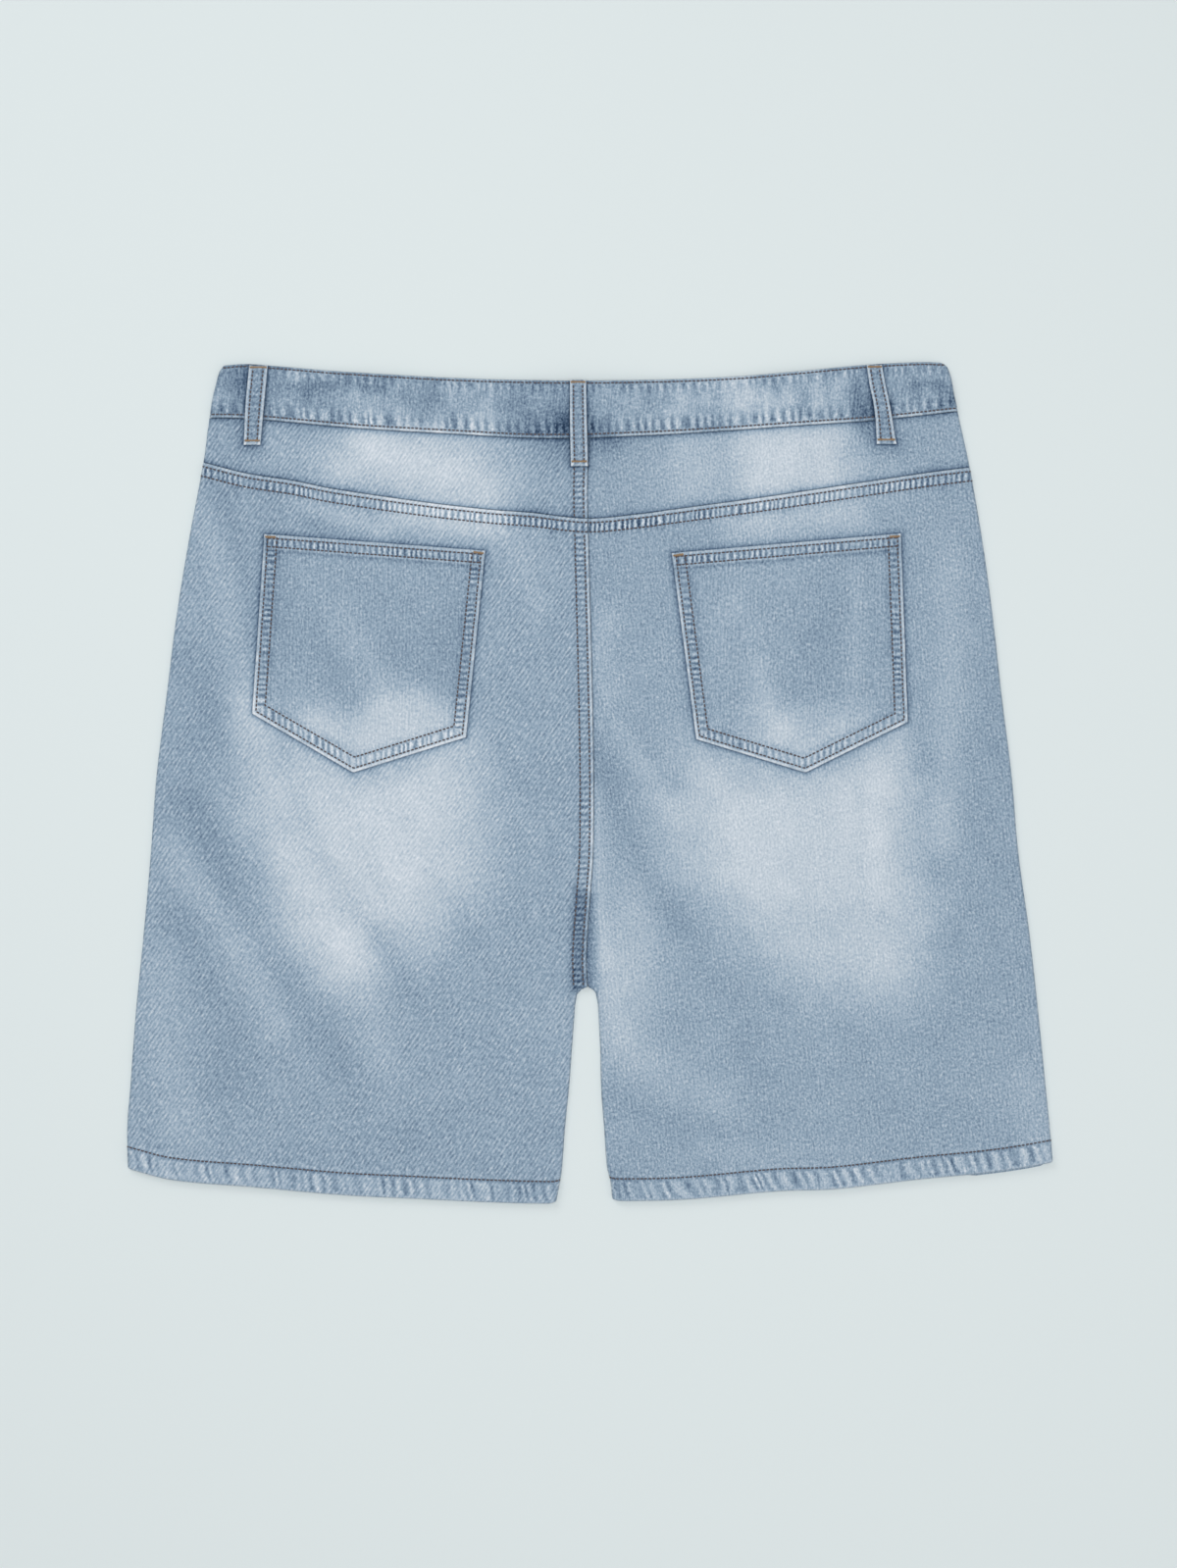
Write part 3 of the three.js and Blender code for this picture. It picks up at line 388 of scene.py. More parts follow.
def cloudy(x, y, size, seed, rounds=3):
    """Several sizes of noise together."""
    total, share, weight = 0.0, 1.0, 0.0
    for k in range(rounds):
        total = total + share * lattice(x / size * 2**k, y / size * 2**k, seed + 13 * k)
        weight += share
        share *= 0.55
    return total / weight


def lift(x, y):
    """How far the front is lifted by what lies under it."""
    rise = 0.0
    for at in FRONT_LOOPS.values():
        low = front_low_y(at) - FRONT_LOOP_BELOW
        across = 1 - ramp(DRAPE_FLAT, DRAPE_FLAT + DRAPE_LOOP, np.abs(x - at) - FRONT_LOOP_HALF)
        rise = rise + (CLOTH + GAP) * across * ramp(low - DRAPE_LOOP, low - DRAPE_FLAT, y)
    far = np.hypot(x - BUTTON_X, y - BUTTON_Y) - BUTTON_R
    return rise + (BUTTON_H + GAP) * (1 - ramp(DRAPE_FLAT, DRAPE_BUTTON, far))


def lap_lift(x, y):
    flat = LAP_HALF + LAP_FLAT
    return (DOUBLE + GAP) * (1 - ramp(flat, flat + LAP_FALL, np.abs(x))) * ramp(LAP_LOW, LAP_HIGH, y)


def from_line(x, y, x0, y0, x1, y1):
    """Distance from a line between two places, and how far along it the nearest place is."""
    dx, dy = x1 - x0, y1 - y0
    t = clamp01(((x - x0) * dx + (y - y0) * dy) / (dx * dx + dy * dy))
    return np.hypot(x - x0 - t * dx, y - y0 - t * dy), t


def folds(x, y):
    rise = 0.0
    for *line, height, half in FOLDS:
        rise = rise + height * bump_at(from_line(x, y, *line)[0], 0, half)
    return rise


def by_side(x, y, made):
    """made(side) on each half."""
    left = x < centre_x(np.maximum(y, ARCH_TOP))
    return np.where(left, made("left"), made("right"))


def from_edges(x, y):
    """Distances from a half's side edge and from its inner edge."""
    to_side = by_side(x, y, lambda s: (side_x[s](y) - x) * OUTWARD[s])
    return to_side, by_side(x, y, lambda s: (x - inner_x(s)(y)) * OUTWARD[s])


def hem_share(x, y):
    start, end = HEM_DEPTH - HEM_STEP, HEM_DEPTH + HEM_STEP
    return by_side(x, y, lambda s: 1 - ramp(start, end, y - hem_y[s](x)))


def slack(x, y):
    """The air between front and back."""
    to_side, to_inner = from_edges(x, y)
    to_leg = np.where(y < ARCH_TOP, to_inner, EDGE_CALM)
    calm = ramp(0, EDGE_CALM, to_side) * ramp(0, LEG_CALM, to_leg)
    hem = hem_share(x, y)
    sunk = VALLEY_DEPTH * bump_at(x, centre_x(y), VALLEY_HALF)
    sunk = np.where(y > ARCH_TOP, sunk * (1 - ramp(ARCH_TOP, VALLEY_TOP, y)), 0.0)
    return mix(SLACK, HEM_SLACK, hem) + folds(x, y) * calm * (1 - HEM_CALM * hem) - sunk


def panel_thick(x, y):
    return mix(CLOTH, DOUBLE, hem_share(x, y))


def front_top(x, y):
    return lift(x, y) + panel_thick(x, y)


def back_outer(x, y):
    return front_top(x, y) + lap_lift(x, y) + GAP + slack(x, y) + panel_thick(x, y) + creases(x, y)


def band_outer(x, y):
    return lift(x, y) + lap_lift(x, y) + 2 * DOUBLE + BAND_SLACK


def outside(x, y, outline):
    """Distance from an outline, less than zero inside it."""
    inside = np.zeros(np.shape(x), bool)
    least = np.full(np.shape(x), 1e9)
    for (x0, y0), (x1, y1) in zip(outline, outline[1:] + outline[:1]):
        least = np.minimum(least, from_line(x, y, x0, y0, x1, y1)[0])
        if y1 != y0:
            inside ^= ((y0 > y) != (y1 > y)) & (x < x0 + (y - y0) * (x1 - x0) / (y1 - y0))
    return np.where(inside, -least, least)


def streak(x, y, row):
    """How near each place is to a curved streak, 1 on its middle line."""
    x0, y0, xm, ym, x1, y1, half0, half1 = row[:8]
    near = np.zeros(np.shape(x))
    t = np.linspace(0, 1, STREAK_PARTS + 1)
    # The curve goes through the middle place.
    px, py = (
        (1 - t) ** 2 * a + 2 * t * (1 - t) * (2 * m - (a + b) / 2) + t * t * b
        for a, m, b in ((x0, xm, x1), (y0, ym, y1))
    )
    reach = STREAK_REACH * max(half0, half1)
    some = (x > px.min() - reach) & (x < px.max() + reach) & (y > py.min() - reach) & (y < py.max() + reach)
    if not some.any():
        return near
    best = np.full(x[some].shape, 1e9)
    for k in range(STREAK_PARTS):
        away, u = from_line(x[some], y[some], px[k], py[k], px[k + 1], py[k + 1])
        best = np.minimum(best, away / mix(half0, half1, (k + u) / STREAK_PARTS))
    near[some] = bump_at(best, 0, 1)
    return near


def creases(x, y):
    """Soft ridges and troughs of the worn cloth, calm at its edges."""
    x, y = np.atleast_1d(*np.broadcast_arrays(np.asarray(x, float), np.asarray(y, float)))
    rise = sum(row[9] * streak(x, y, row) for row in STREAKS) + CRUMPLE_RISE * cloudy(x, y, 17, 61, 2)
    to_side, to_inner = from_edges(x, y)
    calm = ramp(0, CREASE_CALM, to_side) * ramp(0, CREASE_CALM, to_inner)
    return rise * calm * (1 - CREASE_HEM_CALM * hem_share(x, y))


def front_creases(x, y):
    return sum(row[8] * streak(x, y, row) for row in FRONT_CREASES)


def rope_beat(along, pitch, seed):
    """Which wave of a seam drawn up by its stitches each place is in."""
    return along / pitch + (0.55 * lattice(along / 19, 0.5, seed) + 0.35 * lattice(along / 8, 0, seed + 1))


def rope_wave(beat):
    """Wide cushions with narrow dents between them, from -1 to 1."""
    return 2 * (0.5 + 0.5 * np.sin(2 * math.pi * beat)) ** 0.6 - 1


def rope_size(along, seed):
    """How strong the waves are there."""
    return clamp01(0.68 + 0.5 * lattice(along / 12, 4.5, seed + 2) + 0.2 * lattice(along / 5, 0, seed + 3))


def worn_rim(along, seed):
    """How strongly a folded edge is worn there."""
    return 0.75 + 0.7 * lattice(along / 4.0, 2.5, seed + 7)


def band_reach(e, row, reach):
    """Strength of puckers that start at a stitch row and die out inwards."""
    return ramp(row, row + 1.4, e) * (1 - ramp(0.35 * reach, reach, e))


def from_strip(x, y, left, right, low):
    """Distance outside a strip that hangs down to low."""
    aside = np.maximum(np.maximum(left - x, x - right), 0)
    return np.hypot(aside, np.maximum(low - y, 0))


def loop_near(x, y):
    """Distance from the nearest belt loop on the back."""
    least = np.full(np.shape(x), FAR)
    for rows in LOOPS.values():
        at, low = np.clip(y, rows[-1][0], rows[0][0]), rows[-1][0]
        least = np.minimum(least, from_strip(x, y, curve(rows, 1)(at), curve(rows, 2)(at), low))
    return least


def front_loop_near(x, y):
    least = np.full(np.shape(x), FAR)
    for at in FRONT_LOOPS.values():
        low = float(front_low_y(at)) - FRONT_LOOP_BELOW
        least = np.minimum(least, from_strip(x, y, at - FRONT_LOOP_HALF, at + FRONT_LOOP_HALF, low))
    return least


def pocket_near(side, x, y):
    """Distance outside the pocket's edge; far where the pocket covers the panel."""
    away = outside(x, y, [POCKETS[side][k] for k in ("side", "seat", "low", "tip", "out")])
    return np.where(away < -POCKET_COVER, FAR, np.clip(away, 0, FAR))


def wash_and_shade(x, y):
    """The cloth's level before seams and weave: its wash, with painted shade and light in spots, on the
    creases and in the seat.
    """
    level = BASE_LEVEL + 0.0 * x
    ragged = 1 + 0.20 * cloudy(x, y, 55, 3) + 0.10 * cloudy(x, y, 14, 5)
    for cx, cy, rx, ry, turn, levels in WASH_AND_SHADE_SPOTS:
        a = math.radians(turn)
        u = ((x - cx) * math.cos(a) + (y - cy) * math.sin(a)) / rx
        v = ((y - cy) * math.cos(a) - (x - cx) * math.sin(a)) / ry
        level = level + levels * np.exp(-0.7 * (u * u + v * v) * ragged)
    wobble = cloudy(x, y, 30, 7) + 0.5 * cloudy(x, y, 9, 9, 2)
    fade = 0.0
    for levels, soft, outline in AREAS:
        edge = outside(x, y, outline) + 0.28 * soft * wobble
        fade = np.maximum(fade, levels * (1 - ramp(-soft, soft, edge)))
    shade, soft, outline = SEAT_SHADE
    level = level + fade + shade * (1 - ramp(-soft, soft, outside(x, y, outline)))
    # Painted light on the creases' ridges and painted shade in their troughs, along with streaks of wash.
    level = level + sum(row[8] * streak(x, y, row) for row in STREAKS)
    drift = cloudy(x + 0.55 * y, (y - 0.55 * x) * 0.16, 16, 21, 2)
    level = level + 3.0 * drift * ramp(150, -40, np.abs(y + 60) - 40)
    return level + 4.0 * cloudy(x, y, 42, 31) + 5.0 * cloudy(x, y, 13, 37)


def felled(e, along, rows, reach, seed, strength, rim=22):
    """A felled seam, e from its worn edge: height above the panel, levels, rope levels and beat."""
    first, second = rows
    beat = rope_beat(along + 0.04 * e, FELLED_PITCH, seed)
    size = rope_size(along, seed)
    waves = rope_wave(beat) * size
    middle = ramp(first + 0.2, first + 1.2, e) * (1 - ramp(second - 0.9, second + 0.2, e))
    rise = BAND_RISE * (1 - rounded(e, EDGE_ROUND)) * (1 - ramp(reach - 0.5, reach + 1.6, e))
    rise = rise - SEAM_DENT * both_rows(e, rows, 0.5) + SEAM_PUFF * waves * middle
    rise = rise + 0.12 * waves * bump_at(e, reach + 2.2, 2.2)
    # A pale worn edge, and painted shade in the grooves of the rows of stitches.
    level = rim * bump_at(e, 1.1, 0.8) * worn_rim(along, seed) - middle - 18 * both_rows(e, rows, 0.7)
    # Painted shade in streaks off the second row, where the seam pulls the cloth into puckers.
    pulled = np.maximum(0, lattice(along / 3.4, 6.5, seed + 5)) * strength * ramp(second, second + 1, e)
    level = level - 26 * pulled * np.exp(-np.maximum(0, e - second) / 4.5)
    amount = strength * size * (56 * middle + 14 * bump_at(e, second + 1.6, 1.2))
    return rise, level, amount, beat


def hem_coat(x, e, seed, lean=0.15, strength=46):
    """A folded hem with one row of stitches, e from its fold: rise, levels, rope levels and beat."""
    beat = rope_beat(x + lean * e, HEM_PITCH, seed) + 0.25 * lattice(x / 11, e / 9, seed + 9)
    size = rope_size(x, seed) * (0.35 + 1.1 * np.abs(lattice(x / 7, e / 10, seed + 8)))
    waves = rope_wave(beat) * size
    under = ramp(0.6, 3.0, e) * (1 - ramp(HEM_ROW - 3.0, HEM_ROW - 0.6, e))
    rise = 0.34 * waves * under - 0.45 * bump_at(e, HEM_ROW, 0.6) + 0.1 * waves * bump_at(e, 21, 4)
    # Painted shade in the groove of the row of stitches, a pale line at the fold and another above the row.
    level = 10 * under - 20 * bump_at(e, HEM_ROW - 0.2, 0.8) + 14 * bump_at(e, 0.4, 0.9)
    level = level + 9 * bump_at(e, HEM_ROW + 1.9, 0.9)
    return rise, level, size * (strength * under + 8 * bump_at(e, HEM_ROW + 3.5, 2.2)), beat


def meet(x_of, y_of):
    """Where an upright edge meets one that runs across."""
    x = 0.0
    for _ in range(12):
        y = float(y_of(x))
        x = float(x_of(y))
    return x, y


def panel_edges(side, top_y, foot_y, inner_of):
    """A panel's four edges, each a function from 0 to 1 to places."""
    def across(y_of):
        start, end = meet(side_x[side], y_of)[0], meet(inner_of, y_of)[0]
        return lambda f: (mix(start, end, f), y_of(mix(start, end, f)))

    def down(x_of):
        start, end = meet(x_of, top_y)[1], meet(x_of, foot_y)[1]
        return lambda g: (x_of(mix(start, end, g)), mix(start, end, g))

    return {
        "top": across(top_y), "bottom": across(foot_y), "side": down(side_x[side]), "inner": down(inner_of)
    }


def patch(edges, f, g):
    """Points of a patch filled in between four edges."""
    corners = [edges[name](np.float64(at)) for name in ("top", "bottom") for at in (0, 1)]
    t, b, l, r = edges["top"](f), edges["bottom"](f), edges["side"](g), edges["inner"](g)
    out = []
    for k in range(2):
        p00, p10, p01, p11 = (c[k] for c in corners)
        twice = (1 - f) * (1 - g) * p00 + f * (1 - g) * p10 + (1 - f) * g * p01 + f * g * p11
        out.append((1 - g) * t[k] + g * b[k] + (1 - f) * l[k] + f * r[k] - twice)
    return out


def zone(*parts):
    """Distances from runs of (from, to, step)."""
    out = []
    for low, high, step in parts:
        count = max(1, round((high - low) / step))
        out += [low + (high - low) * k / count for k in range(count)]
    return np.array(out)


class Grid:
    """A patch laid out in mm from its edges, with a middle shared out evenly."""

    def __init__(self, edges, lines, side_zone, inner_zone, top_zone, foot_zone):
        columns = self.layout(side_zone, lines[0], inner_zone)
        rows = [v[:, None] for v in self.layout(top_zone, lines[1], foot_zone)]
        f, g = np.broadcast_arrays(columns[1], rows[1])
        for _ in range(3):
            (sx, sy), (ix, iy), (tx, ty), (bx, by) = (
                edges["side"](g), edges["inner"](g), edges["top"](f), edges["bottom"](f)
            )
            wide, tall = np.hypot(sx - ix, sy - iy), np.hypot(0.3 * (tx - bx), ty - by)
            f = self.place(*columns, side_zone, inner_zone, wide)
            g = self.place(*rows, top_zone, foot_zone, tall)
        self.f = f
        self.x, self.y = patch(edges, f, g)
        self.side, self.inner = f * wide, (1 - f) * wide
        self.top, self.foot = g * tall, (1 - g) * tall
        self.side_at, self.inner_at = edges["side"](g), edges["inner"](g)

    @staticmethod
    def layout(first, middle, last):
        """Each line's distance from its own end, less than zero from the last, and share of the middle."""
        lead = np.concatenate([first, np.full(middle, first[-1] + ZONE_END), -last[::-1]])
        return lead, np.concatenate([0 * first, np.linspace(0, 1, middle), 0 * last + 1])

    @staticmethod
    def place(lead, share, first, last, size):
        """Where the lines come from 0 to 1 on a patch of that size in mm."""
        start = first[-1] + ZONE_END
        middle = start + share * (size - start - (last[-1] + ZONE_END))
        near = np.where(lead < 0, size + lead, lead)
        in_middle = (share > 0) & (share < 1) | (np.abs(lead - start) < 1e-9)
        zero_end = (share == 1) & (lead <= 0)
        return np.where(zero_end, size + lead, np.where(in_middle, middle, near)) / size


def cells(rows, columns, offset=0, flip=False):
    r, c = np.meshgrid(np.arange(rows - 1), np.arange(columns - 1), indexing="ij")
    a = (r * columns + c + offset).ravel()
    quads = np.stack([a, a + columns, a + columns + 1, a + 1], axis=1)
    return quads[:, ::-1] if flip else quads


def thinned(count):
    """Every third of a row of points, and all those near its ends."""
    near = 8
    if count < 3 * near:
        return list(range(count))
    return [*range(near), *range(near, count - near, 3), *range(count - near, count)]


def volume(points, quads):
    a, b, c, d = (points[quads[:, k]] for k in range(4))
    return float((a * np.cross(b, c)).sum() + (a * np.cross(c, d)).sum())


def add_object(name, data):
    obj = bpy.data.objects.new(name, data)
    bpy.context.scene.collection.objects.link(obj)
    return obj


def mesh_object(name, points, faces, material):
    """A smooth mesh object from points in mm."""
    mesh = bpy.data.meshes.new(name)
    points = (np.asarray(points, float) - np.array([*ORIGIN, 0.0])) * 0.001
    mesh.from_pydata(points.tolist(), [], faces)
    mesh.validate()
    mesh.update()
    mesh.polygons.foreach_set("use_smooth", [True] * len(mesh.polygons))
    mesh.materials.append(material)
    return add_object(name, mesh)


def paint(obj, name, values):
    """A number for each point, for the material."""
    attribute = obj.data.attributes.new(name, "FLOAT", "POINT")
    attribute.data.foreach_set("value", np.asarray(values, np.float32).ravel())


def grain(obj, x, y, twill):
    """Where each point lies in the cloth before it was cut: across and along the twill lines, in mm."""
    a = math.radians(twill)
    pairs = np.stack([x * math.sin(a) - y * math.cos(a), x * math.cos(a) + y * math.sin(a)], axis=1)
    index = np.empty(len(obj.data.loops), dtype=np.int32)
    obj.data.loops.foreach_get("vertex_index", index)
    obj.data.uv_layers.new(name="grain").data.foreach_set("uv", pairs[index].astype(np.float32).ravel())


def shell(node_name, outer, inner, coat, twill, material):
    """The cloth of a node: a sheet closed round its edges, with coarser cells inside, and its paint."""
    rows, columns = outer[0].shape
    kept_rows, kept_columns = thinned(rows), thinned(columns)
    count, inner_columns = rows * columns, len(kept_columns)
    inside = [a[np.ix_(kept_rows, kept_columns)].ravel() for a in inner]
    points = np.concatenate([np.stack([a.ravel() for a in outer], axis=1), np.stack(inside, axis=1)])
    faces = np.concatenate([cells(rows, columns), cells(len(kept_rows), inner_columns, count, True)])
    outward = volume(points, faces) > 0
    faces = faces.tolist()
    for across, at_end in ((True, False), (True, True), (False, False), (False, True)):
        kept, other, size = (kept_columns, kept_rows, rows) if across else (kept_rows, kept_columns, columns)
        fixed, inner_fixed = (size - 1, len(other) - 1) if at_end else (0, 0)
        for j in range(len(kept) - 1):
            run = range(kept[j], kept[j + 1] + 1)
            face = [fixed * columns + k if across else k * columns + fixed for k in run]
            pairs = [(inner_fixed, k) if across else (k, inner_fixed) for k in (j + 1, j)]
            face += [count + r * inner_columns + c for r, c in pairs]
            faces.append(face if across != at_end else face[::-1])
    if not outward:
        faces = [f[::-1] for f in faces]
    obj = mesh_object(node_name + "_cloth", points, faces, material)
    plain = {"level": BASE_LEVEL, "rope": 0.0, "beat": 0.0, "beside": FAR}
    for key, usual in plain.items():
        values = np.broadcast_to(coat.get(key, usual), outer[0].shape).ravel()
        rest = np.full(len(points) - count, usual - (INSIDE_SHADE if key == "level" else 0))
        paint(obj, key, np.concatenate([values, rest]) / (255 if key in ("level", "rope") else 1))
    grain(obj, points[:, 0], points[:, 1], twill)
    return settle(obj, node_name)


# Materials.
class Value:
    """A value in a material's tree that can be added to and multiplied."""

    def __init__(self, tree, socket):
        self.tree, self.socket = tree, socket

    def math(self, operation, other=None):
        made = self.tree.nodes.new("ShaderNodeMath")
        made.operation = operation
        self.tree.links.new(self.socket, made.inputs[0])
        if isinstance(other, Value):
            self.tree.links.new(other.socket, made.inputs[1])
        elif other is not None:
            made.inputs[1].default_value = other
        return Value(self.tree, made.outputs[0])

    def __add__(self, other):
        return self.math("ADD", other)

    def __mul__(self, other):
        return self.math("MULTIPLY", other)


def linear(rgb):
    """Linear colour from a screen colour of 0 to 255."""
    parts = [v / 255 for v in rgb]
    return (*(v / 12.92 if v <= 0.04045 else ((v + 0.055) / 1.055) ** 2.4 for v in parts), 1.0)


def plain_material(name, **inputs):
    mat = bpy.data.materials.new(name)
    mat.use_nodes = True
    shader = mat.node_tree.nodes["Principled BSDF"]
    for key, value in inputs.items():
        shader.inputs[key.replace("_", " ")].default_value = value
    return mat


def wash_tones(tree, level):
    """The cloth's colour at a level from 0 to 1."""
    tones = tree.nodes.new("ShaderNodeValToRGB")
    stops = tones.color_ramp.elements
    while len(stops) < len(WASH_COLOURS):
        stops.new(0.5)
    for stop, (at, _) in zip(stops, WASH_COLOURS):
        stop.position = at / 255
    for stop, (_, rgb) in zip(sorted(stops, key=lambda s: s.position), WASH_COLOURS):
        stop.color = linear(rgb)
    tree.links.new(level.socket, tones.inputs["Fac"])
    return tones.outputs["Color"]


def denim_material(name, pitch, line_size, streaks, flecks, slub_size, contrast):
    """Washed twill: the painted level, plus slanting lines, flecks, slubs, seam ropes and painted shade
    beside what lies on top.
    """
    mat = plain_material(name, Roughness=0.92, Specular_IOR_Level=0.15, Sheen_Weight=0.1, Sheen_Roughness=0.5)
    tree = mat.node_tree
    shader = tree.nodes["Principled BSDF"]
    uv_node = tree.nodes.new("ShaderNodeUVMap")
    uv_node.uv_map = "grain"
    uv = uv_node.outputs[0]

    def painted(key):
        made = tree.nodes.new("ShaderNodeAttribute")
        made.attribute_name = key
        return Value(tree, made.outputs["Fac"])

    def noise(across, along, detail=2.0, rough=0.5, space=uv):
        stretched = tree.nodes.new("ShaderNodeVectorMath")
        stretched.operation = "MULTIPLY"
        stretched.inputs[1].default_value = (across, along, 1.0)
        tree.links.new(space, stretched.inputs[0])
        made = tree.nodes.new("ShaderNodeTexNoise")
        for key, value in (("Scale", 1.0), ("Detail", detail), ("Roughness", rough)):
            made.inputs[key].default_value = value
        tree.links.new(stretched.outputs[0], made.inputs["Vector"])
        return Value(tree, made.outputs["Fac"])

    # Twill lines wander and break up.
    split = tree.nodes.new("ShaderNodeSeparateXYZ")
    tree.links.new(uv, split.inputs[0])
    across = Value(tree, split.outputs[0]) + noise(0.12, 0.05) * 3.0
    line = (across * (2 * math.pi / pitch)).math("SINE") * (noise(0.3, 0.14, 1.0) * 1.5)
    streak_noise = noise(*streaks, 3.0, 0.62)
    slub = noise(*SLUB, 2.0, 0.6, tree.nodes.new("ShaderNodeTexCoord").outputs["Object"])
    weave = line * line_size
    for value, size in ((streak_noise, 0.30), (noise(*flecks, 3.0, 0.7), 0.34), (slub, slub_size)):
        weave = weave + (value + -0.5) * size
    # Faded cloth shows less of its weave.
    level = painted("level")
    weave = weave * (level * -2.4 + 2.55) * contrast
    # Cushions and dark dents along the seams.
    ragged = painted("beat") + (noise(0.5, 0.5, 2.0, 0.6) + -0.5) * 0.55
    wave = (ragged * (2 * math.pi)).math("SINE") * 0.5 + 0.5
    ropes = painted("rope") * (wave.math("POWER", 0.8) * 2.0 + -1.3)
    # Painted shade: a dark line in the corner beside whatever lies on top.
    beside = painted("beside")
    rim = (beside * -0.8).math("EXPONENT") * -0.27 + (beside * -0.3).math("EXPONENT") * -0.045
    tree.links.new(wash_tones(tree, level + weave + (ropes + rim)), shader.inputs["Base Color"])
    relief = tree.nodes.new("ShaderNodeBump")
    relief.inputs["Strength"].default_value = 0.4
    relief.inputs["Distance"].default_value = 0.0005
    tree.links.new((line * 0.35 + streak_noise).socket, relief.inputs["Height"])
    tree.links.new(relief.outputs["Normal"], shader.inputs["Normal"])
    return mat


denim = {
    "left": denim_material("denim_left", 2.6, 0.045, (0.60, 0.26), (0.54, 0.44), 0.06, 1.32),
    "right": denim_material("denim_right", 2.7, 0.014, (0.74, 0.42), (0.66, 0.55), 0.10, 1.5),
    "sewn_on": denim_material("denim_sewn_on", 2.6, 0.015, (0.7, 0.4), (0.6, 0.5), 0.12, 1.45),
}
thread = plain_material("thread_taupe", Base_Color=linear(THREAD_COLOUR), Roughness=0.75, Sheen_Weight=0.15)
ochre = plain_material("thread_ochre", Base_Color=linear(TACK_COLOUR), Roughness=0.75, Sheen_Weight=0.15)
brass = plain_material("button_brass", Base_Color=linear(BRASS_COLOUR), Roughness=0.38, Metallic=0.9)


def settle(obj, node_name):
    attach(obj, "root")
    if node_name:
        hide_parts(node_name)
    return obj


stitch_lines = {"seams": [], "pockets": [], "waistband": [], "hems": [], "loops": []}
tacks = []


def remember(kind, surface, *parts, up=1.0):
    """A line of stitches through those parts of a surface's grid."""
    line = [np.concatenate([np.atleast_1d(v[part]) for part in parts]) for v in surface]
    stitch_lines[kind].append((np.stack(line, axis=1), up))


def rolled(radius, from_edge):
    """Drop and angle of cloth rolled down over an edge with that radius."""
    drop = rounded(from_edge, radius)
    return radius * drop, np.arcsin(1 - drop)


def back_cloth(side, grid, rise, thick, fold_foot):
    """Outer and inner faces of a back panel or yoke from its grid."""
    x, y, away = grid.x, grid.y, OUTWARD[side]
    thickness = thick(x, y)
    (sx, sy), (ix, iy) = grid.side_at, grid.inner_at
    side_radius = slack(sx - away * 0.01, sy) + thick(sx, sy)
    leg = 1 - ramp(ARCH_TOP - 3.4, ARCH_TOP + 0.6, iy)
    inner_radius = mix(SLACK + CLOTH, slack(ix + away * 0.01, iy) + thick(ix, iy), leg)
    side_drop, side_angle = rolled(side_radius, grid.side)
    inner_drop, inner_angle = rolled(inner_radius, grid.inner)
    inner_angle = mix(math.pi / 2, inner_angle, leg)
    z = back_outer(x, y) - side_drop - inner_drop * leg
    near_side = grid.side < grid.inner
    angle = np.where(near_side, side_angle, inner_angle)
    direction = np.where(near_side, away, -away)
    ease = thickness * FOLD_EASE * rounded(grid.foot, FOLD_ROUND) if fold_foot else 0 * x

    def face(depth, raised):
        return x - direction * np.cos(angle) * depth, y, z + raised - np.sin(angle) * depth

    return face(ease, rise), face(thickness - ease, 0)


INNER_ZONE = {
    "left": zone((0, 1.2, 0.3), (1.2, 3.6, 0.4), (3.6, 8.8, 0.85), (8.8, 10.6, 0.3), (10.6, 15, 0.9)),
    "right": zone((0, 1.2, 0.3), (1.2, 15, 1.2)),
}
END_ZONE = zone((0, 1.0, 0.25), (1.0, 3.0, 0.5))


def centre_seam(grid, strength):
    return felled(grid.inner, grid.y, CENTRE_ROWS, CENTRE_REACH, 73, strength, 34)


def centre_stitches(outer, grid, rows, middle):
    for at in CENTRE_ROWS:
        remember("seams", outer, (rows, nearest(grid.inner[middle], at)))


